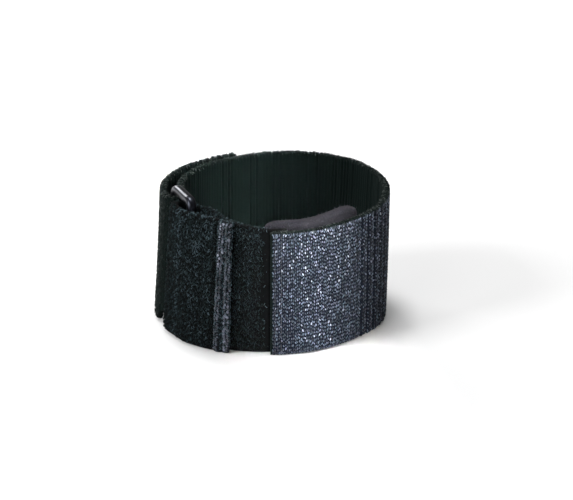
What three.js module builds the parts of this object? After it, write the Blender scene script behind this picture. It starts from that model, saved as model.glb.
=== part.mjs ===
// Elbow support: a wide elastic strap that closes through a moulded ring on a plush tab, with a felt pad.
// Millimetres, +Z up. It stands on its lower edge, the arm's axis upright, its front towards -Y.
// Angles are degrees about the arm's axis, seen from above: 270 front, 360 right, 450 back, 540 left.

import * as THREE from "three";
import { mergeVertices } from "three/addons/utils/BufferGeometryUtils.js";

// Driving dimensions
const STRAP_WIDTH = 76;
const STRAP_THICKNESS = 4;
const PLUSH_THICKNESS = 4.5;
const SEAT_GAP = 0.3;
const RING_HEIGHT = 84;
const RING_BAR = 5.5;
const RING_BAR_FLAT = 1;
const RING_CORNER = 5;
const RING_RADIUS = 60.5;
const RING_LEAN = 3.6;
const BAR_CLEARANCE = 0.55;
const REAR_BAR_ANGLE = 190;
const FRONT_BAR_ANGLE = 215;
const PLUSH_FOLD_ANGLE = 207;
const STRAP_START_ANGLE = 268.5;
const STRAP_TAIL_ANGLE = 470;
const TAB_LAP_ANGLE = 277;
const SEAM_ANGLE = 240.5;
const STATION_STEP = 4;
const FOLD_STEPS = 8;
const BAR_STEPS = 4;
const CORNER_STEPS = 6;

// The cloth is gathered between the ring's two short bars, and flares down again outside the ring
const RING_BASE = 0.4;
const LOWER_BAR_ROOM = 0.5;
const UPPER_BAR_ROOM = 1;
const RING_MIDDLE = RING_BASE + RING_HEIGHT / 2;
const GATHER_LOW = RING_BASE + RING_BAR + LOWER_BAR_ROOM;
const GATHER_HIGH = RING_BASE + RING_HEIGHT - RING_BAR - UPPER_BAR_ROOM;
const FLARE_LOW = 1.5;
const FLARE_START = 0.75;
const STRAP_TURN = RING_BAR / 2 + BAR_CLEARANCE + STRAP_THICKNESS / 2;
const PLUSH_TURN = RING_BAR / 2 + BAR_CLEARANCE + PLUSH_THICKNESS / 2;
const TURN = 360;

const radians = THREE.MathUtils.degToRad;

/** A point in plan, from its angle about the arm's axis and its distance from it. */
function polar(angle, radius) {
  return new THREE.Vector2(Math.cos(radians(angle)), Math.sin(radians(angle))).multiplyScalar(radius);
}

/** How far the leaning ring stands out at a height: outwards below its middle, inwards above it. */
function leanAt(height) {
  return (RING_MIDDLE - height) * Math.tan(radians(RING_LEAN));
}

/** A course row beside the ring, a given distance outside the middle of its long bars. */
function rowAtRing(angle, outside) {
  const low = outside > 0 ? FLARE_LOW : GATHER_LOW;
  const radiusAt = (height) => RING_RADIUS + leanAt(height) + outside;
  return {
    angle,
    lower: radiusAt(low),
    waist: radiusAt(RING_MIDDLE),
    upper: radiusAt(GATHER_HIGH),
    low,
    high: GATHER_HIGH,
  };
}

// Courses: the strip's radius at its lower edge, half height and upper edge, and the edges' heights
const STRAP_COURSE = [
  { angle: STRAP_START_ANGLE, lower: 66.2, waist: 66.0, upper: 65.8, low: 0, high: STRAP_WIDTH },
  { angle: 284, lower: 64.9, waist: 64.9, upper: 64.9, low: 0, high: STRAP_WIDTH },
  { angle: 300, lower: 63.4, waist: 63.4, upper: 63.4, low: 0, high: STRAP_WIDTH },
  { angle: 318, lower: 62.4, waist: 62.8, upper: 63.0, low: 0, high: STRAP_WIDTH },
  { angle: 338, lower: 64.0, waist: 64.6, upper: 64.8, low: 0, high: STRAP_WIDTH },
  { angle: 360, lower: 64.2, waist: 65.2, upper: 65.8, low: 0, high: STRAP_WIDTH },
  { angle: 385, lower: 64.6, waist: 66.2, upper: 67.8, low: 0, high: STRAP_WIDTH },
  { angle: 410, lower: 64.4, waist: 66.8, upper: 69.2, low: 0, high: STRAP_WIDTH },
  { angle: 435, lower: 63.6, waist: 65.4, upper: 67.0, low: 0, high: STRAP_WIDTH },
  { angle: 455, lower: 62.2, waist: 62.8, upper: 63.4, low: 0, high: STRAP_WIDTH },
  { angle: 472, lower: 60.0, waist: 60.0, upper: 60.0, low: 0, high: STRAP_WIDTH },
  { angle: 496, lower: 59.8, waist: 59.4, upper: 59.0, low: 0, high: STRAP_WIDTH },
  { angle: 520, lower: 59.6, waist: 58.4, upper: 57.4, low: 1, high: STRAP_WIDTH },
  { angle: 536, lower: 58.4, waist: 56.2, upper: 54.4, low: 4, high: 77 },
  rowAtRing(REAR_BAR_ANGLE + TURN, -STRAP_TURN),
];
const STRAP_TAIL_COURSE = [
  { angle: STRAP_TAIL_ANGLE, lower: 65.9, waist: 65.9, upper: 65.9, low: 0, high: STRAP_WIDTH },
  { angle: 484, lower: 65.7, waist: 65.5, upper: 65.3, low: 0, high: STRAP_WIDTH },
  { angle: 500, lower: 65.9, waist: 65.5, upper: 65.4, low: 0, high: STRAP_WIDTH },
  { angle: 520, lower: 66.8, waist: 65.8, upper: 65.4, low: 0, high: STRAP_WIDTH },
  { angle: 538, lower: 68.0, waist: 66.0, upper: 64.2, low: 0.5, high: 77 },
  rowAtRing(REAR_BAR_ANGLE + TURN, STRAP_TURN),
];
const TAB_COURSE = [
  rowAtRing(PLUSH_FOLD_ANGLE, -PLUSH_TURN),
  rowAtRing(FRONT_BAR_ANGLE, -PLUSH_TURN),
  { angle: 224, lower: 59.2, waist: 55.4, upper: 50.8, low: 2, high: 79 },
  { angle: 234, lower: 62.0, waist: 58.4, upper: 53.6, low: 0, high: 78.5 },
  { angle: 243, lower: 63.6, waist: 60.4, upper: 56.8, low: 0, high: 77.5 },
  { angle: 251, lower: 63.2, waist: 61.2, upper: 58.6, low: 0, high: 77 },
  { angle: 259, lower: 62.2, waist: 61.4, upper: 60.2, low: 0, high: 76.5 },
  { angle: 268, lower: 61.2, waist: 61.2, upper: 61.0, low: 0, high: STRAP_WIDTH },
  { angle: TAB_LAP_ANGLE, lower: 60.4, waist: 60.4, upper: 60.4, low: 0, high: STRAP_WIDTH },
];
const TAB_END_COURSE = [
  rowAtRing(PLUSH_FOLD_ANGLE, PLUSH_TURN),
  rowAtRing(FRONT_BAR_ANGLE, PLUSH_TURN),
  { angle: 223, lower: 69.6, waist: 66.2, upper: 62.6, low: 0, high: 78.5 },
  { angle: 232, lower: 69.0, waist: 65.4, upper: 61.4, low: 0, high: 79 },
  { angle: SEAM_ANGLE, lower: 68.4, waist: 65.4, upper: 61.9, low: 0, high: 79 },
];

// The binding over the tab's cut end: how far round it each section lies, and its height above the tab
const BINDING_SECTIONS = [
  { angle: SEAM_ANGLE + 0.8, thickness: 4.8 },
  { angle: SEAM_ANGLE + 2.6, thickness: 5.8 },
  { angle: SEAM_ANGLE + 4.6, thickness: 5.6 },
  { angle: SEAM_ANGLE + 6.4, thickness: 4.4 },
  { angle: SEAM_ANGLE + 7.6, thickness: 2.4 },
];
const BINDING_HIGH = 79;

// The felt pad inside the front of the strap: thin at its two ends, its upper corners rounded
const PAD_SECTIONS = [
  { angle: 263.5, radius: 54.8, thickness: 3.0, high: 73 },
  { angle: 265.5, radius: 54.6, thickness: 5.6, high: 76 },
  { angle: 269, radius: 54.6, thickness: 7.2, high: 77.4 },
  { angle: 278, radius: 54.0, thickness: 7.6, high: 78 },
  { angle: 285, radius: 57.0, thickness: 8.0, high: 79 },
  { angle: 292, radius: 57.6, thickness: 8.0, high: 79.6 },
  { angle: 302, radius: 56.8, thickness: 8.0, high: 80.2 },
  { angle: 314, radius: 56.2, thickness: 8.0, high: 80.8 },
  { angle: 320, radius: 56.2, thickness: 7.6, high: 80.4 },
  { angle: 324, radius: 56.3, thickness: 6.2, high: 78.6 },
  { angle: 326.5, radius: 56.4, thickness: 3.2, high: 74 },
];
const PAD_LOW = 2;

// The patch of hook tape that fastens the strap's tail
const HOOK_START_ANGLE = 472;
const HOOK_END_ANGLE = 496;
const HOOK_THICKNESS = 1.1;
const HOOK_INSET = 3;

// Edge profiles: thickness at shares of the strip's height, from its lower edge to its upper edge
const CUT_EDGES = [
  { height: 0, thickness: 0.6 },
  { height: 0.014, thickness: 1 },
  { height: 0.25, thickness: 1 },
  { height: 0.5, thickness: 1 },
  { height: 0.75, thickness: 1 },
  { height: 0.986, thickness: 1 },
  { height: 1, thickness: 0.6 },
];
const ROUNDED_EDGES = [
  { height: 0, thickness: 0.4 },
  { height: 0.012, thickness: 0.72 },
  { height: 0.05, thickness: 0.95 },
  { height: 0.5, thickness: 1 },
  { height: 0.95, thickness: 0.95 },
  { height: 0.988, thickness: 0.72 },
  { height: 1, thickness: 0.4 },
];

// Finishes
const ELASTIC = { color: "#4b4f5f", roughness: 0.85 };
const PLUSH = { color: "#1a1c1f", roughness: 0.95 };
const BINDING = { color: "#3a3c45", roughness: 0.9 };
const FELT = { color: "#4a4a4e", roughness: 0.95 };
const HOOK = { color: "#141417", roughness: 0.7 };
const MOULDED = { color: "#0b0b0e", roughness: 0.18 };

/** Returns a function that reads a table's columns at any angle between its first and last row. */
function tableReader(table) {
  const columns = Object.keys(table[0]).filter((name) => name !== "angle");
  const values = table.flatMap((row) => columns.map((name) => row[name]));
  const curve = new THREE.CubicInterpolant(table.map((row) => row.angle), values, columns.length);
  return (angle) => {
    const found = curve.evaluate(angle);
    return Object.fromEntries(columns.map((name, i) => [name, found[i]]));
  };
}

/** Stations of a strip along a course, from one angle to another. */
function runStations(course, from, to, thickness) {
  const read = tableReader(course);
  const count = Math.ceil(Math.abs(to - from) / STATION_STEP);
  return Array.from({ length: count + 1 }, (_, i) => {
    const angle = THREE.MathUtils.lerp(from, to, i / count);
    const { lower, waist, upper, low, high } = read(angle);
    const plan = [lower, waist, upper].map((radius) => polar(angle, radius));
    return { plan, low: Math.max(low, 0), high, thickness };
  });
}

/** Stations of a half turn about an upright line of the ring, from its inner side to its outer side. */
function foldStations(angle, side, turn, thickness) {
  const outwards = polar((REAR_BAR_ANGLE + FRONT_BAR_ANGLE) / 2, 1);
  return Array.from({ length: FOLD_STEPS + 1 }, (_, i) => {
    const share = i / FOLD_STEPS;
    const facing = angle + side * (TURN / 2) * (1 - share);
    const flare = THREE.MathUtils.smoothstep(share, FLARE_START, 1);
    const low = THREE.MathUtils.lerp(GATHER_LOW, FLARE_LOW, flare);
    const plan = [low, RING_MIDDLE, GATHER_HIGH].map((height) =>
      polar(angle, RING_RADIUS).addScaledVector(outwards, leanAt(height)).add(polar(facing, turn)));
    return { plan, low, high: GATHER_HIGH, thickness };
  });
}

/** The middle of a strip at a share of its height, on the parabola through its three heights. */
function planAt({ plan: [lower, waist, upper] }, share) {
  return lower.clone().multiplyScalar((1 - share) * (1 - 2 * share))
    .addScaledVector(waist, 4 * share * (1 - share))
    .addScaledVector(upper, share * (2 * share - 1));
}

/** A closed strip of cloth on edge through its stations, with the given profile from edge to edge. */
function stripGeometry(stations, profile) {
  const levels = profile.length;
  const around = 2 * levels;
  const positions = new Float32Array(stations.length * around * 3);
  profile.forEach((edge, level) => {
    const middles = stations.map((station) => planAt(station, edge.height));
    stations.forEach((station, i) => {
      const before = middles[Math.max(i - 1, 0)];
      const after = middles[Math.min(i + 1, stations.length - 1)];
      const along = after.clone().sub(before).normalize();
      const half = (station.thickness * edge.thickness) / 2;
      const height = THREE.MathUtils.lerp(station.low, station.high, edge.height);
      const { x, y } = middles[i];
      const right = [x + along.y * half, y - along.x * half, height];
      const left = [x - along.y * half, y + along.x * half, height];
      positions.set(right, (i * around + level) * 3);
      positions.set(left, (i * around + around - 1 - level) * 3);
    });
  });

  const faces = [];
  const quad = (a, b, c, d) => faces.push(a, b, c, a, c, d);
  for (let i = 0; i + 1 < stations.length; i += 1) {
    for (let j = 0; j < around; j += 1) {
      const next = (j + 1) % around;
      quad(i * around + j, (i + 1) * around + j, (i + 1) * around + next, i * around + next);
    }
  }
  const last = (stations.length - 1) * around;
  for (let level = 0; level + 1 < levels; level += 1) {
    const [right, left] = [level, around - 1 - level];
    quad(right, right + 1, left - 1, left);
    quad(last + left, last + left - 1, last + right + 1, last + right);
  }

  const geometry = new THREE.BufferGeometry();
  geometry.setAttribute("position", new THREE.BufferAttribute(positions, 3));
  geometry.setIndex(faces);
  return geometry;
}

/** A rounded rectangle about the origin, as a closed path. */
function roundedRectangle(path, width, height, corner) {
  const [x, y] = [width / 2 - corner, height / 2 - corner];
  path.absarc(x, y, corner, 0, Math.PI / 2);
  path.absarc(-x, y, corner, Math.PI / 2, Math.PI);
  path.absarc(-x, -y, corner, Math.PI, 1.5 * Math.PI);
  path.absarc(x, -y, corner, 1.5 * Math.PI, 2 * Math.PI);
  path.closePath();
  return path;
}

/** The elastic strap: round the arm from the lap seam, through the ring, its tail folded back outside. */
function elasticStrap() {
  const ring = REAR_BAR_ANGLE + TURN;
  return stripGeometry([
    ...runStations(STRAP_COURSE, STRAP_START_ANGLE, ring - STATION_STEP, STRAP_THICKNESS),
    ...foldStations(REAR_BAR_ANGLE, 1, STRAP_TURN, STRAP_THICKNESS),
    ...runStations(STRAP_TAIL_COURSE, ring - STATION_STEP, STRAP_TAIL_ANGLE, STRAP_THICKNESS),
  ], CUT_EDGES);
}

/** The plush tab: from under the strap's end, round the ring's front bar, and back to the seam. */
function ringTab() {
  return stripGeometry([
    ...runStations(TAB_COURSE, TAB_LAP_ANGLE, PLUSH_FOLD_ANGLE + STATION_STEP, PLUSH_THICKNESS),
    ...foldStations(PLUSH_FOLD_ANGLE, -1, PLUSH_TURN, PLUSH_THICKNESS),
    ...runStations(TAB_END_COURSE, PLUSH_FOLD_ANGLE + STATION_STEP, SEAM_ANGLE, PLUSH_THICKNESS),
  ], CUT_EDGES);
}

/** The raised binding that closes the tab's cut end, on the tab's outer face. */
function seamBinding() {
  const readTab = tableReader(TAB_COURSE);
  return stripGeometry(BINDING_SECTIONS.map(({ angle, thickness }) => {
    const outside = (PLUSH_THICKNESS + thickness) / 2 + SEAT_GAP;
    const { lower, waist, upper } = readTab(angle);
    const plan = [lower, waist, upper].map((radius) => polar(angle, radius + outside));
    return { plan, low: 0, high: BINDING_HIGH, thickness };
  }), ROUNDED_EDGES);
}

/** The felt pad between the arm and the strap. */
function feltPad() {
  return stripGeometry(PAD_SECTIONS.map(({ angle, radius, thickness, high }) => {
    const middle = polar(angle, radius);
    return { plan: [middle, middle, middle], low: PAD_LOW, high, thickness };
  }), ROUNDED_EDGES);
}

/** The patch of hook tape between the strap and its tail. */
function hookTab() {
  const outside = (STRAP_THICKNESS + HOOK_THICKNESS) / 2 + SEAT_GAP;
  const course = STRAP_COURSE.map(({ angle, lower, waist, upper }) => ({
    angle,
    lower: lower + outside,
    waist: waist + outside,
    upper: upper + outside,
    low: HOOK_INSET,
    high: STRAP_WIDTH - HOOK_INSET,
  }));
  const stations = runStations(course, HOOK_START_ANGLE, HOOK_END_ANGLE, HOOK_THICKNESS);
  return stripGeometry(stations, CUT_EDGES);
}

/** The moulded ring, upright in its own XY plane and centred on the origin. */
function ringGeometry() {
  const across = 2 * RING_RADIUS * Math.sin(radians((FRONT_BAR_ANGLE - REAR_BAR_ANGLE) / 2));
  const up = RING_HEIGHT - RING_BAR;
  const outline = roundedRectangle(
    new THREE.Shape(), across + RING_BAR_FLAT, up + RING_BAR_FLAT, RING_CORNER + RING_BAR_FLAT / 2);
  outline.holes.push(roundedRectangle(
    new THREE.Path(), across - RING_BAR_FLAT, up - RING_BAR_FLAT, RING_CORNER - RING_BAR_FLAT / 2));
  const roundness = (RING_BAR - RING_BAR_FLAT) / 2;
  const geometry = new THREE.ExtrudeGeometry(outline, {
    depth: RING_BAR_FLAT,
    bevelThickness: roundness,
    bevelSize: roundness,
    bevelSegments: BAR_STEPS,
    curveSegments: CORNER_STEPS,
  });
  geometry.translate(0, 0, -RING_BAR_FLAT / 2);
  geometry.deleteAttribute("normal");
  geometry.deleteAttribute("uv");
  return mergeVertices(geometry);
}

/** A named piece with its own finish. */
function piece(name, geometry, finish) {
  const mesh = new THREE.Mesh(geometry, new THREE.MeshStandardMaterial({ ...finish, metalness: 0 }));
  mesh.name = name;
  return mesh;
}

/** The ring at its place: turned to face outwards and leaning with the cloth. */
function placedRing() {
  const facing = (REAR_BAR_ANGLE + FRONT_BAR_ANGLE) / 2;
  const distance = RING_RADIUS * Math.cos(radians((FRONT_BAR_ANGLE - REAR_BAR_ANGLE) / 2));
  const ring = piece("ring", ringGeometry(), MOULDED);
  ring.rotation.x = radians(90 - RING_LEAN);
  const turned = new THREE.Group();
  turned.rotation.z = radians(facing + 90);
  turned.position.set(...polar(facing, distance).toArray(), RING_MIDDLE);
  turned.add(ring);
  return turned;
}

const loop = new THREE.Group();
loop.add(
  piece("elastic_strap", elasticStrap(), ELASTIC),
  piece("ring_tab", ringTab(), PLUSH),
  piece("seam_binding", seamBinding(), BINDING),
  piece("felt_pad", feltPad(), FELT),
  piece("hook_tab", hookTab(), HOOK),
  placedRing(),
);

// The origin is the centre of the loop's box, on the surface that it stands on
const box = new THREE.Box3().setFromObject(loop, true);
const centre = box.getCenter(new THREE.Vector3());
loop.position.set(-centre.x, -centre.y, -box.min.z);

const elbowSupport = new THREE.Group();
elbowSupport.add(loop);

export default elbowSupport;
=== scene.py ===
"""Elbow support: a heather elastic strap that closes through a glossy ring on a plush tab.

Each soft piece here replaces its plain solid in the frame with finished cloth: ribs and yarn on the strap,
loop pile on the tab, a stitched binding, felt and hook tape. The cloth is laid out in millimetres about
the loop's axis, with angles in degrees seen from above (270 front, 360 right, 450 back, 540 left), and
Placement turns it into the frame's metres.
"""

import logging
import math
from collections.abc import Sequence
from dataclasses import dataclass, fields
from enum import Enum

import bpy
import numpy as np
from mathutils import Matrix, Vector

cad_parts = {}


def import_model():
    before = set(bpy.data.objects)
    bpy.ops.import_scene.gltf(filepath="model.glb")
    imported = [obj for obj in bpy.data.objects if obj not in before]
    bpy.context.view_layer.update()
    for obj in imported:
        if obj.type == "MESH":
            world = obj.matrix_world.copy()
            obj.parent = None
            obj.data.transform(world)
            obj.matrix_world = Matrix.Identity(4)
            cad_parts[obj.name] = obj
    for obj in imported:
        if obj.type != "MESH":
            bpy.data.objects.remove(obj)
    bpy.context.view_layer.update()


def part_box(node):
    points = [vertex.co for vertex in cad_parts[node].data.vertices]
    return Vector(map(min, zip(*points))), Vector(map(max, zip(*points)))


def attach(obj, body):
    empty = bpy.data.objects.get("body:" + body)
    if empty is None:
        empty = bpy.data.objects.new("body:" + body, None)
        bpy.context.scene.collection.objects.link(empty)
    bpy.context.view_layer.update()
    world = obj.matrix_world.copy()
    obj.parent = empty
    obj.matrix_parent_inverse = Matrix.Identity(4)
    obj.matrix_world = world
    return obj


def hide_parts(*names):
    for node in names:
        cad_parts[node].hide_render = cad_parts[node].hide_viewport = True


Array = np.ndarray
Colour = tuple[float, float, float, float]
Curve = tuple[tuple[float, float], ...]

MM = 0.001
TURN = 360.0
BODY = "root"
CLOTH_UV = "cloth"
LOG = logging.getLogger("elbow_support")

# Sizes that the pieces share, in millimetres and degrees
STRAP_WIDTH = 76.0
STATION_STEP = 0.5
FOLD_STEPS = 40
CORNER_STEPS = 5
END_FLATNESS = 0.45
FLOOR_CLEARANCE = 1.3

# Shares and seed steps of the node trees
FACE_SHARE = 0.7
SIZE_SEED = 11
TONE_SEED = 12
LEAN_SEEDS = (1, 2)
SPIN_SEED = 3
LOOP_POINTS = 5
YARN_SIDES = 3
BROAD_SHARE = 0.4
MOTTLE_RANGE = (0.32, 0.68)
MOTTLE_DETAIL = 3.0
KNIT_SLANT = 1.3
RIDGE_SHARE = 0.35

# Places of the number sockets of a random node, and of the colour sockets of a mixing node
RANDOM_LOW, RANDOM_HIGH, RANDOM_SEED, RANDOM_NUMBER = 2, 3, 8, 1
MIX_SHARE, MIX_FIRST, MIX_SECOND, MIX_COLOUR = 0, 6, 7, 2


class Slot(Enum):
    """The record's material slots."""

    ELASTIC = "heather_elastic"
    PLUSH = "black_plush"
    BINDING = "grey_binding"
    FELT = "grey_felt"
    HOOK = "hook_tape"
    RING = "moulded_ring"


class Held(Enum):
    """The ways in which a sheet is held here."""

    STRETCHED = "stretched"
    FOLDED = "folded"
    LAID = "laid"


class Side(Enum):
    """The two faces of a strip, to the right and left of the way that it runs."""

    RIGHT = 1.0
    LEFT = -1.0


def linear(code: str) -> Colour:
    """Turns a hex colour into the linear values that shaders take.

    Args:
        code: Six hex digits, such as "3a3c45".

    Returns:
        Red, green and blue, with an alpha of 1.
    """
    shown = np.array([int(code[i:i + 2], 16) for i in (0, 2, 4)]) / 255
    curved = ((shown + 0.055) / 1.055) ** 2.4
    return (*np.where(shown <= 0.04045, shown / 12.92, curved).tolist(), 1.0)


def polar(angle: float | Array, radius: float | Array) -> Array:
    """Gives points in plan, from their angles about the loop's axis and their distances from it."""
    turned = np.radians(angle)
    return np.stack([np.cos(turned) * radius, np.sin(turned) * radius], axis=-1)


def unit(vectors: Array) -> Array:
    """Gives the same directions, each with a length of 1."""
    return vectors / np.maximum(np.linalg.norm(vectors, axis=-1, keepdims=True), 1e-9)


def smoothstep(share: Array) -> Array:
    """Eases a share from 0 to 1, and holds it at both ends."""
    held = np.clip(share, 0.0, 1.0)
    return held * held * (3.0 - 2.0 * held)


def read_smoothly(knots: Array, values: Array, at: Array) -> Array:
    """Reads the columns of a table smoothly between its rows.

    Args:
        knots: The rows' positions, in rising order.
        values: One row of columns for each knot.
        at: The positions to read at.

    Returns:
        One row of columns for each position.
    """
    slopes = np.diff(values, axis=0) / np.diff(knots)[:, None]
    tangents = np.concatenate([slopes[:1], (slopes[:-1] + slopes[1:]) / 2, slopes[-1:]])
    row = np.clip(np.searchsorted(knots, at, side="right") - 1, 0, len(knots) - 2)
    span = (knots[row + 1] - knots[row])[:, None]
    t = (at - knots[row])[:, None] / span
    start = values[row] * (2 * t**3 - 3 * t**2 + 1) + tangents[row] * span * (t**3 - 2 * t**2 + t)
    end = values[row + 1] * (3 * t**2 - 2 * t**3) + tangents[row + 1] * span * (t**3 - t**2)
    return start + end


@dataclass(frozen=True)
class Row:
    """Where a strip runs at one angle: its middle's radius at three heights, and its edges' heights."""

    angle: float
    lower: float
    waist: float
    upper: float
    low: float = 0.0
    high: float = STRAP_WIDTH
    thickness: float = 0.0


@dataclass
class Stations:
    """Stations along a strip: angle, middle in plan at three heights, edges' heights and thickness.

    The leg is 0 before the strip's fold, rises through the fold, and is 1 after it.
    """

    angle: Array
    plan: Array
    low: Array
    high: Array
    thickness: Array
    leg: Array

    @classmethod
    def joined(cls, runs: Sequence["Stations"]) -> "Stations":
        """Joins runs end to end."""
        return cls(*(np.concatenate([getattr(run, f.name) for run in runs]) for f in fields(cls)))


class Course:
    """The way that a strip runs round the loop, read smoothly from a short table."""

    def __init__(self, rows: Sequence[Row]) -> None:
        """Keeps the table's columns.

        Args:
            rows: The table, in rising order of angle.
        """
        names = [f.name for f in fields(Row)][1:]
        self.knots = np.array([row.angle for row in rows])
        self.values = np.array([[getattr(row, name) for name in names] for row in rows])

    def run(self, start: float, end: float, thickness: float = 0.0, leg: float = 0.0) -> Stations:
        """Makes close stations from one angle to another, without the last.

        Args:
            start: Angle of the first station.
            end: Angle just past the last station.
            thickness: The cloth's thickness, added to the table's own.
            leg: 0 before the strip's fold, 1 after it.

        Returns:
            The stations.
        """
        count = max(2, round(abs(end - start) / STATION_STEP))
        angle = np.linspace(start, end, count, endpoint=False)
        lower, waist, upper, low, high, own = read_smoothly(self.knots, self.values, angle).T
        plan = np.stack([polar(angle, radius) for radius in (lower, waist, upper)], axis=1)
        return Stations(angle, plan, np.maximum(low, 0.0), high, own + thickness, np.full(count, leg))


@dataclass(frozen=True)
class RingShape:
    """The moulded ring's sizes, and how cloth lies about its two long bars."""

    height: float = 84.0
    bar: float = 5.5
    corner: float = 5.0
    radius: float = 60.5
    lean: float = 3.6
    base: float = 0.4
    rear_angle: float = 190.0
    front_angle: float = 215.0
    clearance: float = 0.55
    gather_low: float = 6.4
    gather_high: float = 77.9
    flare_low: float = 0.2
    flare_start: float = 0.75

    @property
    def facing(self) -> float:
        """The angle that the ring faces."""
        return (self.rear_angle + self.front_angle) / 2

    @property
    def middle(self) -> float:
        """The height of the ring's middle."""
        return self.base + self.height / 2

    @property
    def spread(self) -> float:
        """Half of the angle between the two long bars."""
        return math.radians((self.front_angle - self.rear_angle) / 2)

    @property
    def centre(self) -> Array:
        """The ring's middle."""
        return np.append(polar(self.facing, self.radius * math.cos(self.spread)), self.middle)

    def turn(self, thickness: float) -> float:
        """Gives the distance from a bar's middle to the middle of cloth that turns about it."""
        return self.bar / 2 + self.clearance + thickness / 2

    def lean_at(self, height: float | Array) -> float | Array:
        """Says how far the ring stands out at a height: outwards below its middle, inwards above it."""
        return (self.middle - height) * math.tan(math.radians(self.lean))

    def row(self, angle: float, outside: float) -> Row:
        """Makes a course row beside the ring.

        Args:
            angle: The row's angle.
            outside: Distance outside the middle of the long bars, negative inside them.

        Returns:
            The row.
        """
        low = self.flare_low if outside > 0 else self.gather_low
        lower, waist, upper = (
            self.radius + self.lean_at(height) + outside for height in (low, self.middle, self.gather_high)
        )
        return Row(angle, lower, waist, upper, low, self.gather_high)

    def fold(self, angle: float, side: Side, thickness: float) -> Stations:
        """Makes the stations of a half turn about an upright line of the ring, from inside to outside.

        Args:
            angle: The upright line's angle.
            side: The way round that the cloth turns.
            thickness: The cloth's thickness.

        Returns:
            The stations.
        """
        share = np.linspace(0.0, 1.0, FOLD_STEPS, endpoint=False)
        flare = smoothstep((share - self.flare_start) / (1.0 - self.flare_start))
        low = self.gather_low + (self.flare_low - self.gather_low) * flare
        high = np.full_like(low, self.gather_high)
        heights = np.stack([low, np.full_like(low, self.middle), high], axis=1)
        about = polar(angle + side.value * TURN / 2 * (1.0 - share), self.turn(thickness))
        plan = polar(angle, self.radius) + self.lean_at(heights)[..., None] * polar(self.facing, 1.0)
        whole = np.full_like(low, angle)
        return Stations(whole, plan + about[:, None], low, high, np.full_like(low, thickness), share)


@dataclass(frozen=True)
class Spots:
    """Places on a strip: middles, normals to its right, headings along it, its rise and its thickness."""

    middle: Array
    normal: Array
    heading: Array
    rise: Array
    thickness: Array

    def face(self, side: float | Array, lift: float = 0.0) -> Array:
        """Finds points on a face of the strip.

        Args:
            side: From -1 at the left face to 1 at the right face.
            lift: Height above that face.

        Returns:
            The points.
        """
        shift = side * (self.thickness / 2 + lift)
        return self.middle + self.normal * shift[:, None]


class Strip:
    """A strip of cloth on edge: places on it are found by length along it and share of its height."""

    def __init__(self, stations: Stations) -> None:
        """Measures the strip along its half height.

        Args:
            stations: The stations that it passes through.
        """
        steps = np.linalg.norm(np.diff(stations.plan[:, 1], axis=0), axis=1)
        self.stations = stations
        self.along = np.concatenate([[0.0], np.cumsum(steps)])
        self.heading = np.gradient(stations.plan, self.along, axis=0)

    @property
    def length(self) -> float:
        """The strip's flat length."""
        return float(self.along[-1])

    def steps(self, step: float) -> Array:
        """Gives lengths along the whole strip, about one step apart."""
        return np.linspace(0.0, self.length, round(self.length / step) + 1)

    def read(self, along: Array, values: Array) -> Array:
        """Reads a column of the stations at lengths along the strip."""
        return np.interp(along, self.along, values)

    def read_plan(self, along: Array, values: Array) -> Array:
        """Reads plan vectors of the stations, at their three heights.

        Args:
            along: Lengths along the strip.
            values: The stations' vectors, three for each.

        Returns:
            Three vectors for each length.
        """
        flat = values.reshape(len(values), -1)
        read = [self.read(along, column) for column in flat.T]
        return np.stack(read, axis=1).reshape(-1, 3, 2)

    def along_at(self, angle: float) -> float:
        """Finds the length along the strip at an angle, on the leg before its fold.

        Args:
            angle: The angle about the loop's axis.

        Returns:
            The length there.
        """
        first_leg = np.flatnonzero(self.stations.leg == 0)
        nearest = first_leg[np.abs(self.stations.angle[first_leg] - angle).argmin()]
        return float(self.along[nearest])

    def at(self, along: Array, share: Array) -> Spots:
        """Finds places on the strip.

        Args:
            along: Lengths along the strip.
            share: Shares of its height, from its lower edge to its upper edge.

        Returns:
            The places.
        """
        plan = self.read_plan(along, self.stations.plan)
        heading = self.read_plan(along, self.heading)
        low = self.read(along, self.stations.low)
        high = self.read(along, self.stations.high)
        rest = 1 - share
        weight = np.stack([rest * (1 - 2 * share), 4 * share * rest, share * (2 * share - 1)], axis=1)
        slope = np.stack([4 * share - 3, 4 - 8 * share, 4 * share - 1], axis=1)
        weight, slope = weight[..., None], slope[..., None]
        middle = np.column_stack([(plan * weight).sum(1), low + (high - low) * share])
        forward = unit(np.column_stack([(heading * weight).sum(1), np.zeros_like(share)]))
        rise = unit(np.column_stack([(plan * slope).sum(1), high - low]))
        normal = unit(np.cross(forward, rise))
        return Spots(middle, normal, forward, rise, self.read(along, self.stations.thickness))


@dataclass(frozen=True)
class Section:
    """A strip's outline across its height: shares of the height and of the half thickness."""

    share: Array
    side: Array

    @classmethod
    def rounded(cls, height: float, thickness: float, edge: float, levels: int) -> "Section":
        """Makes an outline with four rounded corners, up the right face and down the left face.

        Args:
            height: The strip's height.
            thickness: Its thickness.
            edge: The corners' radius, at most half of the thickness.
            levels: Points up each flat face.

        Returns:
            The outline.
        """
        bend = np.linspace(np.pi / 2, 0.0, CORNER_STEPS)
        drop = edge * (1 - np.sin(bend)) / height
        inset = 1 - edge * (1 - np.cos(bend)) / (thickness / 2)
        flat = np.linspace(drop[-1], 1 - drop[-1], levels + 2)[1:-1]
        share = np.concatenate([drop, flat, 1 - drop[::-1]])
        side = np.concatenate([inset, np.ones(levels), inset[::-1]])
        return cls(np.concatenate([share, share[::-1]]), np.concatenate([side, -side[::-1]]))

    def swept(self, along: Array) -> tuple[Array, Array, Array]:
        """Repeats the outline along a strip.

        Args:
            along: Lengths at which the outline stands.

        Returns:
            The length, share and side of each point of the strip's mesh.
        """
        count = len(along)
        return np.repeat(along, len(self.share)), np.tile(self.share, count), np.tile(self.side, count)


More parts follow.
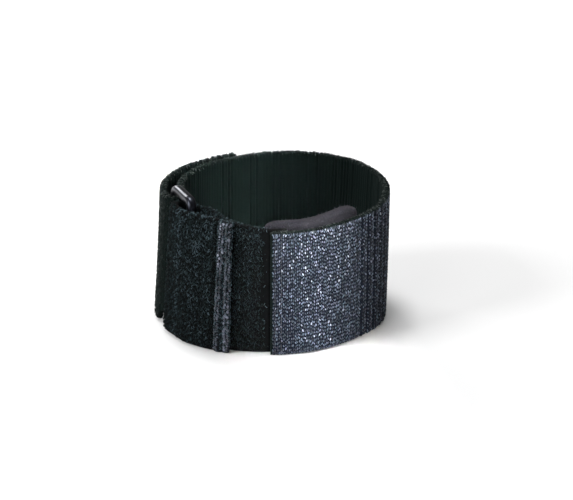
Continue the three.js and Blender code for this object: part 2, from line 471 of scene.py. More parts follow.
@dataclass(frozen=True)
class Placement:
    """Where the loop's axis stands in the frame."""

    axis: Array

    @classmethod
    def from_ring(cls, ring: RingShape) -> "Placement":
        """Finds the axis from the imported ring's place."""
        low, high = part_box("ring")
        return cls(np.array((low + high) / 2) - ring.centre * MM)

    def metres(self, points: Array) -> Array:
        """Turns points about the loop's axis into the frame's metres."""
        return points * MM + self.axis


class Tree:
    """Adds and links the nodes of one node tree."""

    def __init__(self, tree: bpy.types.NodeTree) -> None:
        """Starts on a tree.

        Args:
            tree: The tree to fill.
        """
        self.tree = tree
        self.given: bpy.types.bpy_prop_collection | None = None

    @classmethod
    def group(cls, kind: str, name: str, takes: dict[str, str], gives: dict[str, str]) -> "Tree":
        """Makes a node group with named inputs and outputs.

        Args:
            kind: The kind of tree.
            name: The group's name.
            takes: The inputs' names and kinds of socket.
            gives: The outputs' names and kinds of socket.

        Returns:
            The tree, with its input node ready.
        """
        made = cls(bpy.data.node_groups.new(name, kind))
        for way, sockets in (("INPUT", takes), ("OUTPUT", gives)):
            for socket, value in sockets.items():
                made.tree.interface.new_socket(name=socket, in_out=way, socket_type="NodeSocket" + value)
        made.given = made.add("NodeGroupInput").outputs
        return made

    @classmethod
    def geometry(cls, name: str, takes: dict[str, str]) -> "Tree":
        """Makes a Geometry Nodes tree with these inputs after its geometry."""
        both = {"Geometry": "Geometry"}
        return cls.group("GeometryNodeTree", name, both | takes, both)

    def add(
        self, kind: str, inputs: dict[str | int, object] | None = None, **settings: object
    ) -> bpy.types.Node:
        """Adds a node.

        Args:
            kind: The node's kind.
            inputs: Values, sockets or nodes for its inputs.
            settings: Its own settings.

        Returns:
            The node.
        """
        node = self.tree.nodes.new(kind)
        for name, value in settings.items():
            setattr(node, name, value)
        self.feed(node, inputs or {})
        return node

    def feed(self, node: bpy.types.Node, inputs: dict[str | int, object]) -> None:
        """Fills a node's inputs.

        Args:
            node: The node.
            inputs: For each input its own value, or a socket or a node's first output to link to it.
        """
        for key, value in inputs.items():
            if isinstance(value, bpy.types.Node):
                value = next(output for output in value.outputs if output.enabled)
            if isinstance(value, bpy.types.NodeSocket):
                self.tree.links.new(value, node.inputs[key])
            else:
                node.inputs[key].default_value = value

    def maths(self, operation: str, *values: object) -> bpy.types.Node:
        """Adds a sum on numbers."""
        return self.add("ShaderNodeMath", dict(enumerate(values)), operation=operation)

    def attribute(self, name: str, kind: str = "FLOAT") -> bpy.types.NodeSocket:
        """Reads a named attribute of the geometry."""
        node = self.add("GeometryNodeInputNamedAttribute", {"Name": name}, data_type=kind)
        return node.outputs["Attribute"]

    def random(self, low: object, high: object, seed: object) -> bpy.types.NodeSocket:
        """Draws a random number for each element, from a fixed seed."""
        limits = {RANDOM_LOW: low, RANDOM_HIGH: high, RANDOM_SEED: seed}
        return self.add("FunctionNodeRandomValue", limits, data_type="FLOAT").outputs[RANDOM_NUMBER]

    def either_way(self, most: object, seed: object) -> bpy.types.NodeSocket:
        """Draws a random number for each element, up to an amount above or below 0."""
        return self.random(self.maths("MULTIPLY", most, -1.0), most, seed)

    def blend(self, share: object, first: str, second: str) -> bpy.types.NodeSocket:
        """Mixes two hex colours by a share."""
        mixed = {MIX_SHARE: share, MIX_FIRST: linear(first), MIX_SECOND: linear(second)}
        return self.add("ShaderNodeMix", mixed, data_type="RGBA").outputs[MIX_COLOUR]

    def relief(self, height: object, depth: float, strength: float) -> bpy.types.Node:
        """Adds a relief whose heights from 0 to 1 are a depth in millimetres."""
        return self.add("ShaderNodeBump", {"Strength": strength, "Distance": depth * MM, "Height": height})

    def give(self, **outputs: object) -> bpy.types.NodeTree:
        """Links the group's outputs and returns its tree."""
        self.add("NodeGroupOutput", outputs)
        return self.tree


def planted(
    tree: Tree, points: object, shape: object, rotation: object, size: object
) -> bpy.types.NodeTree:
    """Ends a tree: plants a shape on points, each with its own tone, as one mesh of one material.

    The tone is drawn at random, and shifted by the attribute bias where the points have it.

    Args:
        tree: The tree, with inputs named Spread, Seed and Material.
        points: Where the shapes stand.
        shape: The shape to plant.
        rotation: Each shape's rotation.
        size: The shape's size.

    Returns:
        The finished tree.
    """
    seed = tree.given["Seed"]
    small = tree.maths("SUBTRACT", 1.0, tree.given["Spread"])
    large = tree.maths("ADD", 1.0, tree.given["Spread"])
    share = tree.random(small, large, tree.maths("ADD", seed, SIZE_SEED))
    scale = tree.add("ShaderNodeVectorMath", {0: size, "Scale": share}, operation="SCALE")
    smooth = tree.add("GeometryNodeSetShadeSmooth", {"Geometry": shape})
    stood = tree.add(
        "GeometryNodeInstanceOnPoints",
        {"Points": points, "Instance": smooth, "Rotation": rotation, "Scale": scale},
    )
    drawn = tree.random(0.0, 1.0, tree.maths("ADD", seed, TONE_SEED))
    tone = tree.maths("ADD", drawn, tree.attribute("bias"))
    toned = tree.add(
        "GeometryNodeStoreNamedAttribute",
        {"Geometry": stood, "Name": "tone", "Value": tone},
        data_type="FLOAT",
        domain="INSTANCE",
    )
    whole = tree.add("GeometryNodeRealizeInstances", {"Geometry": toned})
    dressed = tree.add("GeometryNodeSetMaterial", {"Geometry": whole, "Material": tree.given["Material"]})
    return tree.give(Geometry=dressed)


def rib_tree() -> bpy.types.NodeTree:
    """Presses upright ribs into a strip, and gives its two faces their materials.

    Returns:
        A tree that reads the attributes along, rib and faced.
    """
    takes = {"Pitch": "Float", "Depth": "Float"}
    takes |= {"Right Material": "Material", "Left Material": "Material"}
    tree = Tree.geometry("pressed_ribs", takes)
    turns = tree.maths("DIVIDE", tree.attribute("along"), tree.given["Pitch"])
    wave = tree.maths("COSINE", tree.maths("MULTIPLY", turns, math.tau))
    dent = tree.maths("MULTIPLY", tree.maths("MULTIPLY_ADD", wave, 0.5, -0.5), tree.attribute("rib"))
    depth = tree.maths("MULTIPLY", dent, tree.given["Depth"])
    normal = tree.add("GeometryNodeInputNormal")
    offset = tree.add("ShaderNodeVectorMath", {0: normal, "Scale": depth}, operation="SCALE")
    pressed = tree.add("GeometryNodeSetPosition", {"Geometry": tree.given["Geometry"], "Offset": offset})
    whole = tree.add("GeometryNodeRealizeInstances", {"Geometry": pressed})
    left, right = tree.given["Left Material"], tree.given["Right Material"]
    lined = tree.add("GeometryNodeSetMaterial", {"Geometry": whole, "Material": left})
    chosen = tree.maths("GREATER_THAN", tree.attribute("faced"), FACE_SHARE)
    dressed = {"Geometry": lined, "Selection": chosen, "Material": right}
    return tree.give(Geometry=tree.add("GeometryNodeSetMaterial", dressed))


def yarn_tree() -> bpy.types.NodeTree:
    """Lays a grain of yarn on each point, along the attribute heading and flat to the attribute facing.

    Returns:
        A tree whose inputs size and scatter the grains.
    """
    takes = {"Length": "Float", "Width": "Float", "Height": "Float", "Tilt": "Float"}
    takes |= {"Spread": "Float", "Seed": "Int", "Material": "Material"}
    tree = Tree.geometry("laid_yarn", takes)
    facing, heading = (tree.attribute(name, "FLOAT_VECTOR") for name in ("facing", "heading"))
    flat = tree.add("FunctionNodeAlignRotationToVector", {"Vector": facing}, axis="Z")
    laid = {"Rotation": flat, "Vector": heading}
    along = tree.add("FunctionNodeAlignRotationToVector", laid, axis="X", pivot_axis="Z")
    spin = tree.add("ShaderNodeCombineXYZ", {"Z": tree.either_way(tree.given["Tilt"], tree.given["Seed"])})
    tilt = tree.add("FunctionNodeEulerToRotation", {"Euler": spin})
    turned = tree.add(
        "FunctionNodeRotateRotation", {"Rotation": along, "Rotate By": tilt}, rotation_space="LOCAL"
    )
    sizes = {axis: tree.given[name] for axis, name in zip("XYZ", ("Length", "Width", "Height"))}
    size = tree.add("ShaderNodeCombineXYZ", sizes)
    grain = tree.add("GeometryNodeMeshIcoSphere", {"Radius": 0.5, "Subdivisions": 1})
    return planted(tree, tree.given["Geometry"], grain, turned, size)


def loop_tree() -> bpy.types.NodeTree:
    """Stands small loops of yarn over a surface, as dense as the attribute pile says.

    Returns:
        A tree whose inputs size and scatter the loops.
    """
    takes = {"Density": "Float", "Width": "Float", "Height": "Float", "Yarn": "Float", "Lean": "Float"}
    takes |= {"Spin": "Float", "Spread": "Float", "Seed": "Int", "Material": "Material"}
    tree = Tree.geometry("loop_pile", takes)
    density = tree.maths("MULTIPLY", tree.attribute("pile"), tree.given["Density"])
    spread = tree.add(
        "GeometryNodeDistributePointsOnFaces",
        {"Mesh": tree.given["Geometry"], "Density": density, "Seed": tree.given["Seed"]},
        distribute_method="RANDOM",
    )
    half_turn = {"Resolution": LOOP_POINTS, "Radius": 0.5, "Sweep Angle": math.pi}
    arc = tree.add("GeometryNodeCurveArc", half_turn, mode="RADIUS")
    tall = tree.maths("MULTIPLY", tree.given["Height"], 2.0)
    size = tree.add("ShaderNodeCombineXYZ", {"X": tree.given["Width"], "Y": tall, "Z": 1.0})
    sized = tree.add("GeometryNodeTransform", {"Geometry": arc, "Scale": size})
    stood = tree.add("GeometryNodeTransform", {"Geometry": sized, "Rotation": (math.pi / 2, 0.0, 0.0)})
    yarn = tree.add(
        "GeometryNodeCurvePrimitiveCircle",
        {"Resolution": YARN_SIDES, "Radius": tree.maths("MULTIPLY", tree.given["Yarn"], 0.5)},
        mode="RADIUS",
    )
    loop = tree.add("GeometryNodeCurveToMesh", {"Curve": stood, "Profile Curve": yarn})
    seed = tree.given["Seed"]
    leans = [tree.either_way(tree.given["Lean"], tree.maths("ADD", seed, step)) for step in LEAN_SEEDS]
    spin = tree.either_way(tree.given["Spin"], tree.maths("ADD", seed, SPIN_SEED))
    euler = tree.add("ShaderNodeCombineXYZ", {"X": leans[0], "Y": leans[1], "Z": spin})
    tilt = tree.add("FunctionNodeEulerToRotation", {"Euler": euler})
    upright = tree.add(
        "FunctionNodeAlignRotationToVector",
        {"Rotation": spread.outputs["Rotation"], "Vector": (0.0, 0.0, 1.0)},
        axis="X",
        pivot_axis="Z",
    )
    turned = tree.add(
        "FunctionNodeRotateRotation", {"Rotation": upright, "Rotate By": tilt}, rotation_space="LOCAL"
    )
    return planted(tree, spread.outputs["Points"], loop, turned, (1.0, 1.0, 1.0))


def mottle_group() -> bpy.types.NodeTree:
    """Builds the fibre mottle: a broad unevenness and a fine fibre grain on Object coordinates.

    Returns:
        A shader group with the inputs Broad and Fine, as cells in each metre, and the output Shade.
    """
    takes = {"Broad": "Float", "Fine": "Float"}
    tree = Tree.group("ShaderNodeTree", "fibre_mottle", takes, {"Shade": "Float"})
    places = tree.add("ShaderNodeTexCoord").outputs["Object"]
    noise = {"Vector": places, "Detail": MOTTLE_DETAIL}
    broad, fine = (
        tree.add("ShaderNodeTexNoise", noise | {"Scale": tree.given[name]}) for name in ("Broad", "Fine")
    )
    grain = tree.maths("MULTIPLY", fine.outputs["Fac"], 1.0 - BROAD_SHARE)
    mixed = tree.maths("MULTIPLY_ADD", broad.outputs["Fac"], BROAD_SHARE, grain)
    low, high = MOTTLE_RANGE
    spread = {"Value": mixed, "From Min": low, "From Max": high}
    return tree.give(Shade=tree.add("ShaderNodeMapRange", spread))


def knit_group() -> bpy.types.NodeTree:
    """Builds the knitted loops: slanting stitches in columns, on the cloth's own lengths.

    Returns:
        A shader group with the inputs Column and Row, as stitch sizes in metres, and the output Loop.
    """
    takes = {"Column": "Float", "Row": "Float"}
    tree = Tree.group("ShaderNodeTree", "knit_loops", takes, {"Loop": "Float"})
    flat = tree.add("ShaderNodeUVMap", uv_map=CLOTH_UV)
    lengths = tree.add("ShaderNodeSeparateXYZ", {"Vector": flat})
    column = tree.maths("DIVIDE", lengths.outputs["X"], tree.given["Column"])
    row = tree.maths("DIVIDE", lengths.outputs["Y"], tree.given["Row"])
    across = tree.maths("PINGPONG", column, 0.5)
    slanted = tree.maths("MULTIPLY_ADD", across, KNIT_SLANT, row)
    wave = tree.maths("SINE", tree.maths("MULTIPLY", slanted, math.tau))
    ridge = tree.maths("SINE", tree.maths("MULTIPLY", across, math.tau))
    stitch = tree.maths("MULTIPLY_ADD", wave, 0.5, 0.5)
    stitched = tree.maths("MULTIPLY", stitch, 1.0 - RIDGE_SHARE)
    return tree.give(Loop=tree.maths("MULTIPLY_ADD", ridge, RIDGE_SHARE, stitched))


class Effects:
    """The shader groups that several finishes share, each built once."""

    def __init__(self) -> None:
        """Builds the groups."""
        self.mottle = mottle_group()
        self.knit = knit_group()

    def mottled(self, tree: Tree, broad: float, fine: float) -> bpy.types.Node:
        """Adds the fibre mottle to a material's tree."""
        return tree.add("ShaderNodeGroup", {"Broad": broad, "Fine": fine}, node_tree=self.mottle)


def blank_material(name: str) -> tuple[bpy.types.Material, Tree, bpy.types.Node]:
    """Starts a material.

    Args:
        name: The material's name.

    Returns:
        The material, its tree and its shader.
    """
    made = bpy.data.materials.new(name)
    made.use_nodes = True
    return made, Tree(made.node_tree), made.node_tree.nodes["Principled BSDF"]


@dataclass(frozen=True)
class Cloth:
    """A knitted or felted cloth: two colours mixed by its fibres and stitches, with their relief."""

    name: str
    dark: str
    light: str
    roughness: float = 0.85
    sheen: float = 0.15
    sheen_tint: str = "9a9ca6"
    broad: float = 60.0
    fine: float = 900.0
    column: float = 2.1
    row: float = 1.9
    relief: float = 0.25
    relief_strength: float = 0.7
    stitched: float = 0.5
    specular: float = 0.08
    sheen_roughness: float = 0.5

    def material(self, effects: Effects) -> bpy.types.Material:
        """Builds the finish.

        Args:
            effects: The shared shader groups.

        Returns:
            The material.
        """
        made, tree, shader = blank_material(self.name)
        mottle = effects.mottled(tree, self.broad, self.fine)
        stitch = {"Column": self.column * MM, "Row": self.row * MM}
        knit = tree.add("ShaderNodeGroup", stitch, node_tree=effects.knit)
        kept = tree.maths("MULTIPLY", mottle, 1.0 - self.stitched)
        height = tree.maths("MULTIPLY_ADD", knit, self.stitched, kept)
        tree.feed(shader, {
            "Base Color": tree.blend(height, self.dark, self.light),
            "Normal": tree.relief(height, self.relief, self.relief_strength),
            "Roughness": self.roughness,
            "Sheen Weight": self.sheen,
            "Sheen Roughness": self.sheen_roughness,
            "Sheen Tint": linear(self.sheen_tint),
            "Specular IOR Level": self.specular,
        })
        return made


@dataclass(frozen=True)
class Yarn:
    """Loose yarn: each grain or loop takes its own colour from a range, by the attribute tone."""

    name: str
    colours: tuple[tuple[float, str], ...]
    roughness: float = 0.5
    sheen: float = 0.1
    specular: float = 0.5
    broad: float = 90.0
    fine: float = 1500.0
    mottled: float = 0.25

    def material(self, effects: Effects) -> bpy.types.Material:
        """Builds the finish.

        Args:
            effects: The shared shader groups.

        Returns:
            The material.
        """
        made, tree, shader = blank_material(self.name)
        tone = tree.add("ShaderNodeAttribute", attribute_name="tone")
        mottle = tree.maths("MULTIPLY", effects.mottled(tree, self.broad, self.fine), self.mottled)
        mixed = tree.maths("MULTIPLY_ADD", tone.outputs["Fac"], 1.0 - self.mottled, mottle)
        ramp = tree.add("ShaderNodeValToRGB", {"Fac": mixed})
        stops = ramp.color_ramp.elements
        while len(stops) < len(self.colours):
            stops.new(1.0)
        for stop, (position, code) in zip(stops, self.colours):
            stop.position = position
            stop.color = linear(code)
        tree.feed(shader, {
            "Base Color": ramp.outputs["Color"],
            "Roughness": self.roughness,
            "Sheen Weight": self.sheen,
            "Specular IOR Level": self.specular,
        })
        return made


@dataclass(frozen=True)
class Moulding:
    """Glossy moulded plastic, a little uneven and faintly scuffed."""

    name: str
    colour: str
    scuffed: str
    smooth: float = 0.25
    dull: float = 0.37
    specular: float = 0.42
    specular_tint: str = "c4cdea"
    coat: float = 0.12
    coat_roughness: float = 0.15
    broad: float = 140.0
    fine: float = 2600.0
    relief: float = 0.05
    relief_strength: float = 0.15

    def material(self, effects: Effects) -> bpy.types.Material:
        """Builds the finish.

        Args:
            effects: The shared shader groups.

        Returns:
            The material.
        """
        made, tree, shader = blank_material(self.name)
        mottle = effects.mottled(tree, self.broad, self.fine)
        gloss = {"Value": mottle, "To Min": self.smooth, "To Max": self.dull}
        rough = tree.add("ShaderNodeMapRange", gloss)
        tree.feed(shader, {
            "Base Color": tree.blend(mottle, self.colour, self.scuffed),
            "Roughness": rough,
            "Normal": tree.relief(mottle, self.relief, self.relief_strength),
            "Specular IOR Level": self.specular,
            "Specular Tint": linear(self.specular_tint),
            "Coat Weight": self.coat,
            "Coat Roughness": self.coat_roughness,
        })
        return made


HEATHER = Cloth(
    "heather_elastic", "090c12", "1a1f29", roughness=0.8, sheen=0.02, column=2.1, row=2.0, stitched=0.7
)
LINING = Cloth(
    "black_lining", "030908", "0a1614", roughness=0.85, sheen=0.02, column=2.1, row=1.4, stitched=0.6
)
PLUSH = Cloth(
    "black_plush", "020303", "080a0b", roughness=0.95, sheen=0.0, column=1.6, row=1.2, stitched=0.3
)
BINDING = Cloth(
    "grey_binding", "07090b", "14171c", roughness=0.9, sheen=0.02, column=1.5, row=1.2, stitched=0.6
)
FELT = Cloth(
    "grey_felt", "1b1a1e", "2c2b30", roughness=0.95, sheen=0.05, fine=1400.0, stitched=0.0, relief=0.35
)
HOOK_TAPE = Cloth(
    "hook_tape", "0c0c0e", "1a1a1d", roughness=0.55, sheen=0.0, column=1.2, row=1.2, stitched=0.8
)
HEATHER_YARN = Yarn(
    "heather_yarn",
    (
        (0.06, "161b25"), (0.28, "36434c"), (0.42, "4d4f60"),
        (0.6, "566876"), (0.82, "8287a0"), (0.95, "ccd1de"),
    ),
    roughness=0.45,
    sheen=0.02,
    specular=0.3,
)
LINING_YARN = Yarn(
    "lining_yarn",
    ((0.1, "070b0a"), (0.5, "121a18"), (0.8, "212926"), (1.0, "4a504e")),
    roughness=0.75,
    sheen=0.0,
    specular=0.12,
)
PLUSH_YARN = Yarn(
    "plush_yarn",
    ((0.1, "050a0a"), (0.4, "0f1a1b"), (0.6, "1e292d"), (0.78, "2b3a3c"), (0.92, "4d5d65")),
    roughness=0.75,
    sheen=0.0,
    specular=0.12,
)
BINDING_YARN = Yarn(
    "binding_yarn",
    ((0.0, "1b1e25"), (0.35, "373b46"), (0.65, "5f6374"), (0.9, "a0a4b6")),
    roughness=0.45,
    sheen=0.03,
)
FELT_FIBRE = Yarn(
    "felt_fibre",
    ((0.1, "1a191d"), (0.5, "2a292e"), (0.9, "413f47")),
    roughness=0.9,
    sheen=0.05,
    specular=0.1,
)
HOOK_YARN = Yarn("hook_yarn", ((0.1, "0b0b0d"), (0.9, "1f1f23")), roughness=0.4, sheen=0.0)
THREAD = Yarn("dark_thread", ((0.1, "0d0f12"), (0.9, "22252b")), roughness=0.5, sheen=0.03)
MOULDED = Moulding("moulded_ring", "040405", "0a0a0d")


@dataclass(frozen=True)
class GrainSize:
    """The size and scatter of grains of yarn."""

    length: float
    width: float
    height: float
    tilt: float
    spread: float
    seed: int


@dataclass(frozen=True)
class LoopSize:
    """The size and scatter of standing loops of yarn, with their number on each square millimetre."""

    density: float
    width: float
    height: float
    yarn: float
    lean: float
    spin: float
    spread: float
    seed: int


class Workshop:
    """The frame's placement, with the node trees and effects that the sub-assemblies share."""

    def __init__(self, place: Placement) -> None:
        """Builds the shared trees.

        Args:
            place: Where the loop's axis stands.
        """
        self.place = place
        self.ribs = rib_tree()
        self.yarn = yarn_tree()
        self.loops = loop_tree()
        self.effects = Effects()
        self.materials: dict[str, bpy.types.Material] = {}

    def material(self, finish: Cloth | Yarn | Moulding) -> bpy.types.Material:
        """Gives a finish's material, built at its first use.

        Args:
            finish: The finish.

        Returns:
            The material.
        """
        if finish.name not in self.materials:
            self.materials[finish.name] = finish.material(self.effects)
        return self.materials[finish.name]

    def strip_mesh(
        self, name: str, strip: Strip, section: Section, along: Array, edge: float
    ) -> bpy.types.Mesh:
        """Sweeps a section along a strip, as one closed mesh with its flat lengths as a UV map.

        Args:
            name: The mesh's name.
            strip: The strip to follow.
            section: The outline across it.
            along: Lengths along the strip at which the outline stands.
            edge: The roundness of the strip's two ends.

        Returns:
            The mesh.
        """
        rings, around = len(along), len(section.share)
        lengths, share, side = section.swept(along)
        from_end = np.minimum(lengths - along[0], along[-1] - lengths)
        round_off = 1 - np.sqrt(np.clip(1 - np.clip(1 - from_end / edge, 0, 1) ** 2, 0, 1))
        points = strip.at(lengths, share).face(side * (1 - END_FLATNESS * round_off))

        first, k = np.meshgrid(np.arange(rings - 1) * around, np.arange(around), indexing="ij")
        last, after = first + around, (k + 1) % around
        walls = np.stack([first + k, last + k, last + after, first + after], axis=-1).reshape(-1, 4)
        up = np.arange(around // 2 - 1)
        cap = np.stack([up, up + 1, around - 2 - up, around - 1 - up], axis=-1)
        faces = np.concatenate([walls, cap, cap[:, ::-1] + (rings - 1) * around])

        mesh = bpy.data.meshes.new(name)
        mesh.from_pydata(self.place.metres(points).tolist(), [], faces.tolist())
        flat = np.column_stack([lengths, points[:, 2]]) * MM
        layer = mesh.uv_layers.new(name=CLOTH_UV)
        layer.uv.foreach_set("vector", flat[faces.ravel()].astype(np.float32).ravel())
        mesh.shade_smooth()
        return mesh

    @staticmethod
    def write(mesh: bpy.types.Mesh, name: str, values: Array) -> None:
        """Writes an attribute on a mesh's points.

        Args:
            mesh: The mesh.
            name: The attribute's name.
            values: A number for each point, or a vector where there are three columns.
        """
        kind, field_name = ("FLOAT_VECTOR", "vector") if values.ndim == 2 else ("FLOAT", "value")
        attribute = mesh.attributes.new(name, kind, "POINT")
        attribute.data.foreach_set(field_name, values.astype(np.float32).ravel())

    @staticmethod
    def bake(mesh: bpy.types.Mesh, tree: bpy.types.NodeTree, values: dict[str, object]) -> bpy.types.Mesh:
        """Runs a tree on a mesh and gives the result as a plain mesh.

        Args:
            mesh: The mesh to start from, which is used up.
            tree: The Geometry Nodes tree.
            values: Its inputs, by name.

        Returns:
            The finished mesh.
        """
        holder = bpy.data.objects.new(mesh.name, mesh)
        modifier = holder.modifiers.new(tree.name, "NODES")
        modifier.node_group = tree
        for item in tree.interface.items_tree:
            if item.in_out == "INPUT" and item.name in values:
                modifier[item.identifier] = values[item.name]
        bpy.context.scene.collection.objects.link(holder)
        shown = bpy.context.evaluated_depsgraph_get()
        baked = bpy.data.meshes.new_from_object(
            holder.evaluated_get(shown), preserve_all_data_layers=True, depsgraph=shown
        )
        holder.modifiers.remove(modifier)
        bpy.data.objects.remove(holder)
        bpy.data.meshes.remove(mesh)
        return baked

    def ribbed(
        self, mesh: bpy.types.Mesh, pitch: float, depth: float, right: Cloth, left: Cloth
    ) -> bpy.types.Mesh:
        """Presses ribs into a strip's mesh and dresses its two faces.

        Args:
            mesh: The strip's mesh, with the attributes along, rib and faced. It is used up.
            pitch: The distance from rib to rib.
            depth: The depth of a valley whose attribute rib is 1.
            right: The right face's finish.
            left: The left face's finish, and the edges'.

        Returns:
            The finished mesh.
        """
        values = {"Pitch": pitch * MM, "Depth": depth * MM}
        values |= {"Right Material": self.material(right), "Left Material": self.material(left)}
        return self.bake(mesh, self.ribs, values)

    def grains(
        self,
        name: str,
        points: Array,
        facing: Array,
        heading: Array,
        size: GrainSize,
        finish: Yarn,
        bias: float | Array = 0.0,
    ) -> bpy.types.Mesh:
        """Lays grains of yarn on points.

        Args:
            name: The mesh's name.
            points: Where the grains lie.
            facing: The surface's direction at each.
            heading: The grain's direction at each.
            size: Their size and scatter.
            finish: Their finish.
            bias: How much lighter than usual each is, negative for darker.

        Returns:
            The grains as one mesh.
        """
        mesh = bpy.data.meshes.new(name)
        mesh.from_pydata(self.place.metres(points).tolist(), [], [])
        self.write(mesh, "facing", facing)
        self.write(mesh, "heading", heading)
        self.write(mesh, "bias", np.broadcast_to(bias, len(points)))
        values = {"Length": size.length * MM, "Width": size.width * MM, "Height": size.height * MM}
        values |= {"Tilt": size.tilt, "Spread": size.spread, "Seed": size.seed}
        return self.bake(mesh, self.yarn, values | {"Material": self.material(finish)})

    def pile(
        self,
        mesh: bpy.types.Mesh,
        weight: Array,
        size: LoopSize,
        finish: Yarn,
        bias: float | Array = 0.0,
    ) -> bpy.types.Mesh:
        """Stands loops of yarn on a copy of a mesh.

        Args:
            mesh: The cloth under the loops.
            weight: How dense they stand at each of its points, from 0 to 1.
            size: Their size, scatter and number.
            finish: Their finish.
            bias: How much lighter than usual they are at each point, negative for darker.

        Returns:
            The loops as one mesh.
        """
        ground = mesh.copy()
        points = np.empty(3 * len(weight), np.float32)
        mesh.vertices.foreach_get("co", points)
        self.write(ground, "pile", weight * smoothstep(points[2::3] / (FLOOR_CLEARANCE * MM) - 1.0))
        self.write(ground, "bias", np.broadcast_to(bias, len(weight)))
        values = {"Density": size.density / MM**2, "Width": size.width * MM, "Height": size.height * MM}
        values |= {"Yarn": size.yarn * MM, "Lean": size.lean, "Spin": size.spin}
        values |= {"Spread": size.spread, "Seed": size.seed}
        return self.bake(ground, self.loops, values | {"Material": self.material(finish)})

    @staticmethod
    def piece(
        name: str, mesh: bpy.types.Mesh, slot: Slot, replaced: str | None = None
    ) -> bpy.types.Object:
        """Adds a finished mesh as a piece of the object.

        Args:
            name: The piece's name.
            mesh: Its mesh.
            slot: The record's material slot that it belongs to. Not used.
            replaced: The solid that it stands for, if any.

        Returns:
            The piece, riding on the object's one body.
        """
        mesh.name = name
        made = bpy.data.objects.new(name, mesh)
        bpy.context.scene.collection.objects.link(made)
        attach(made, BODY)
        if replaced:
            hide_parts(replaced)
        return made


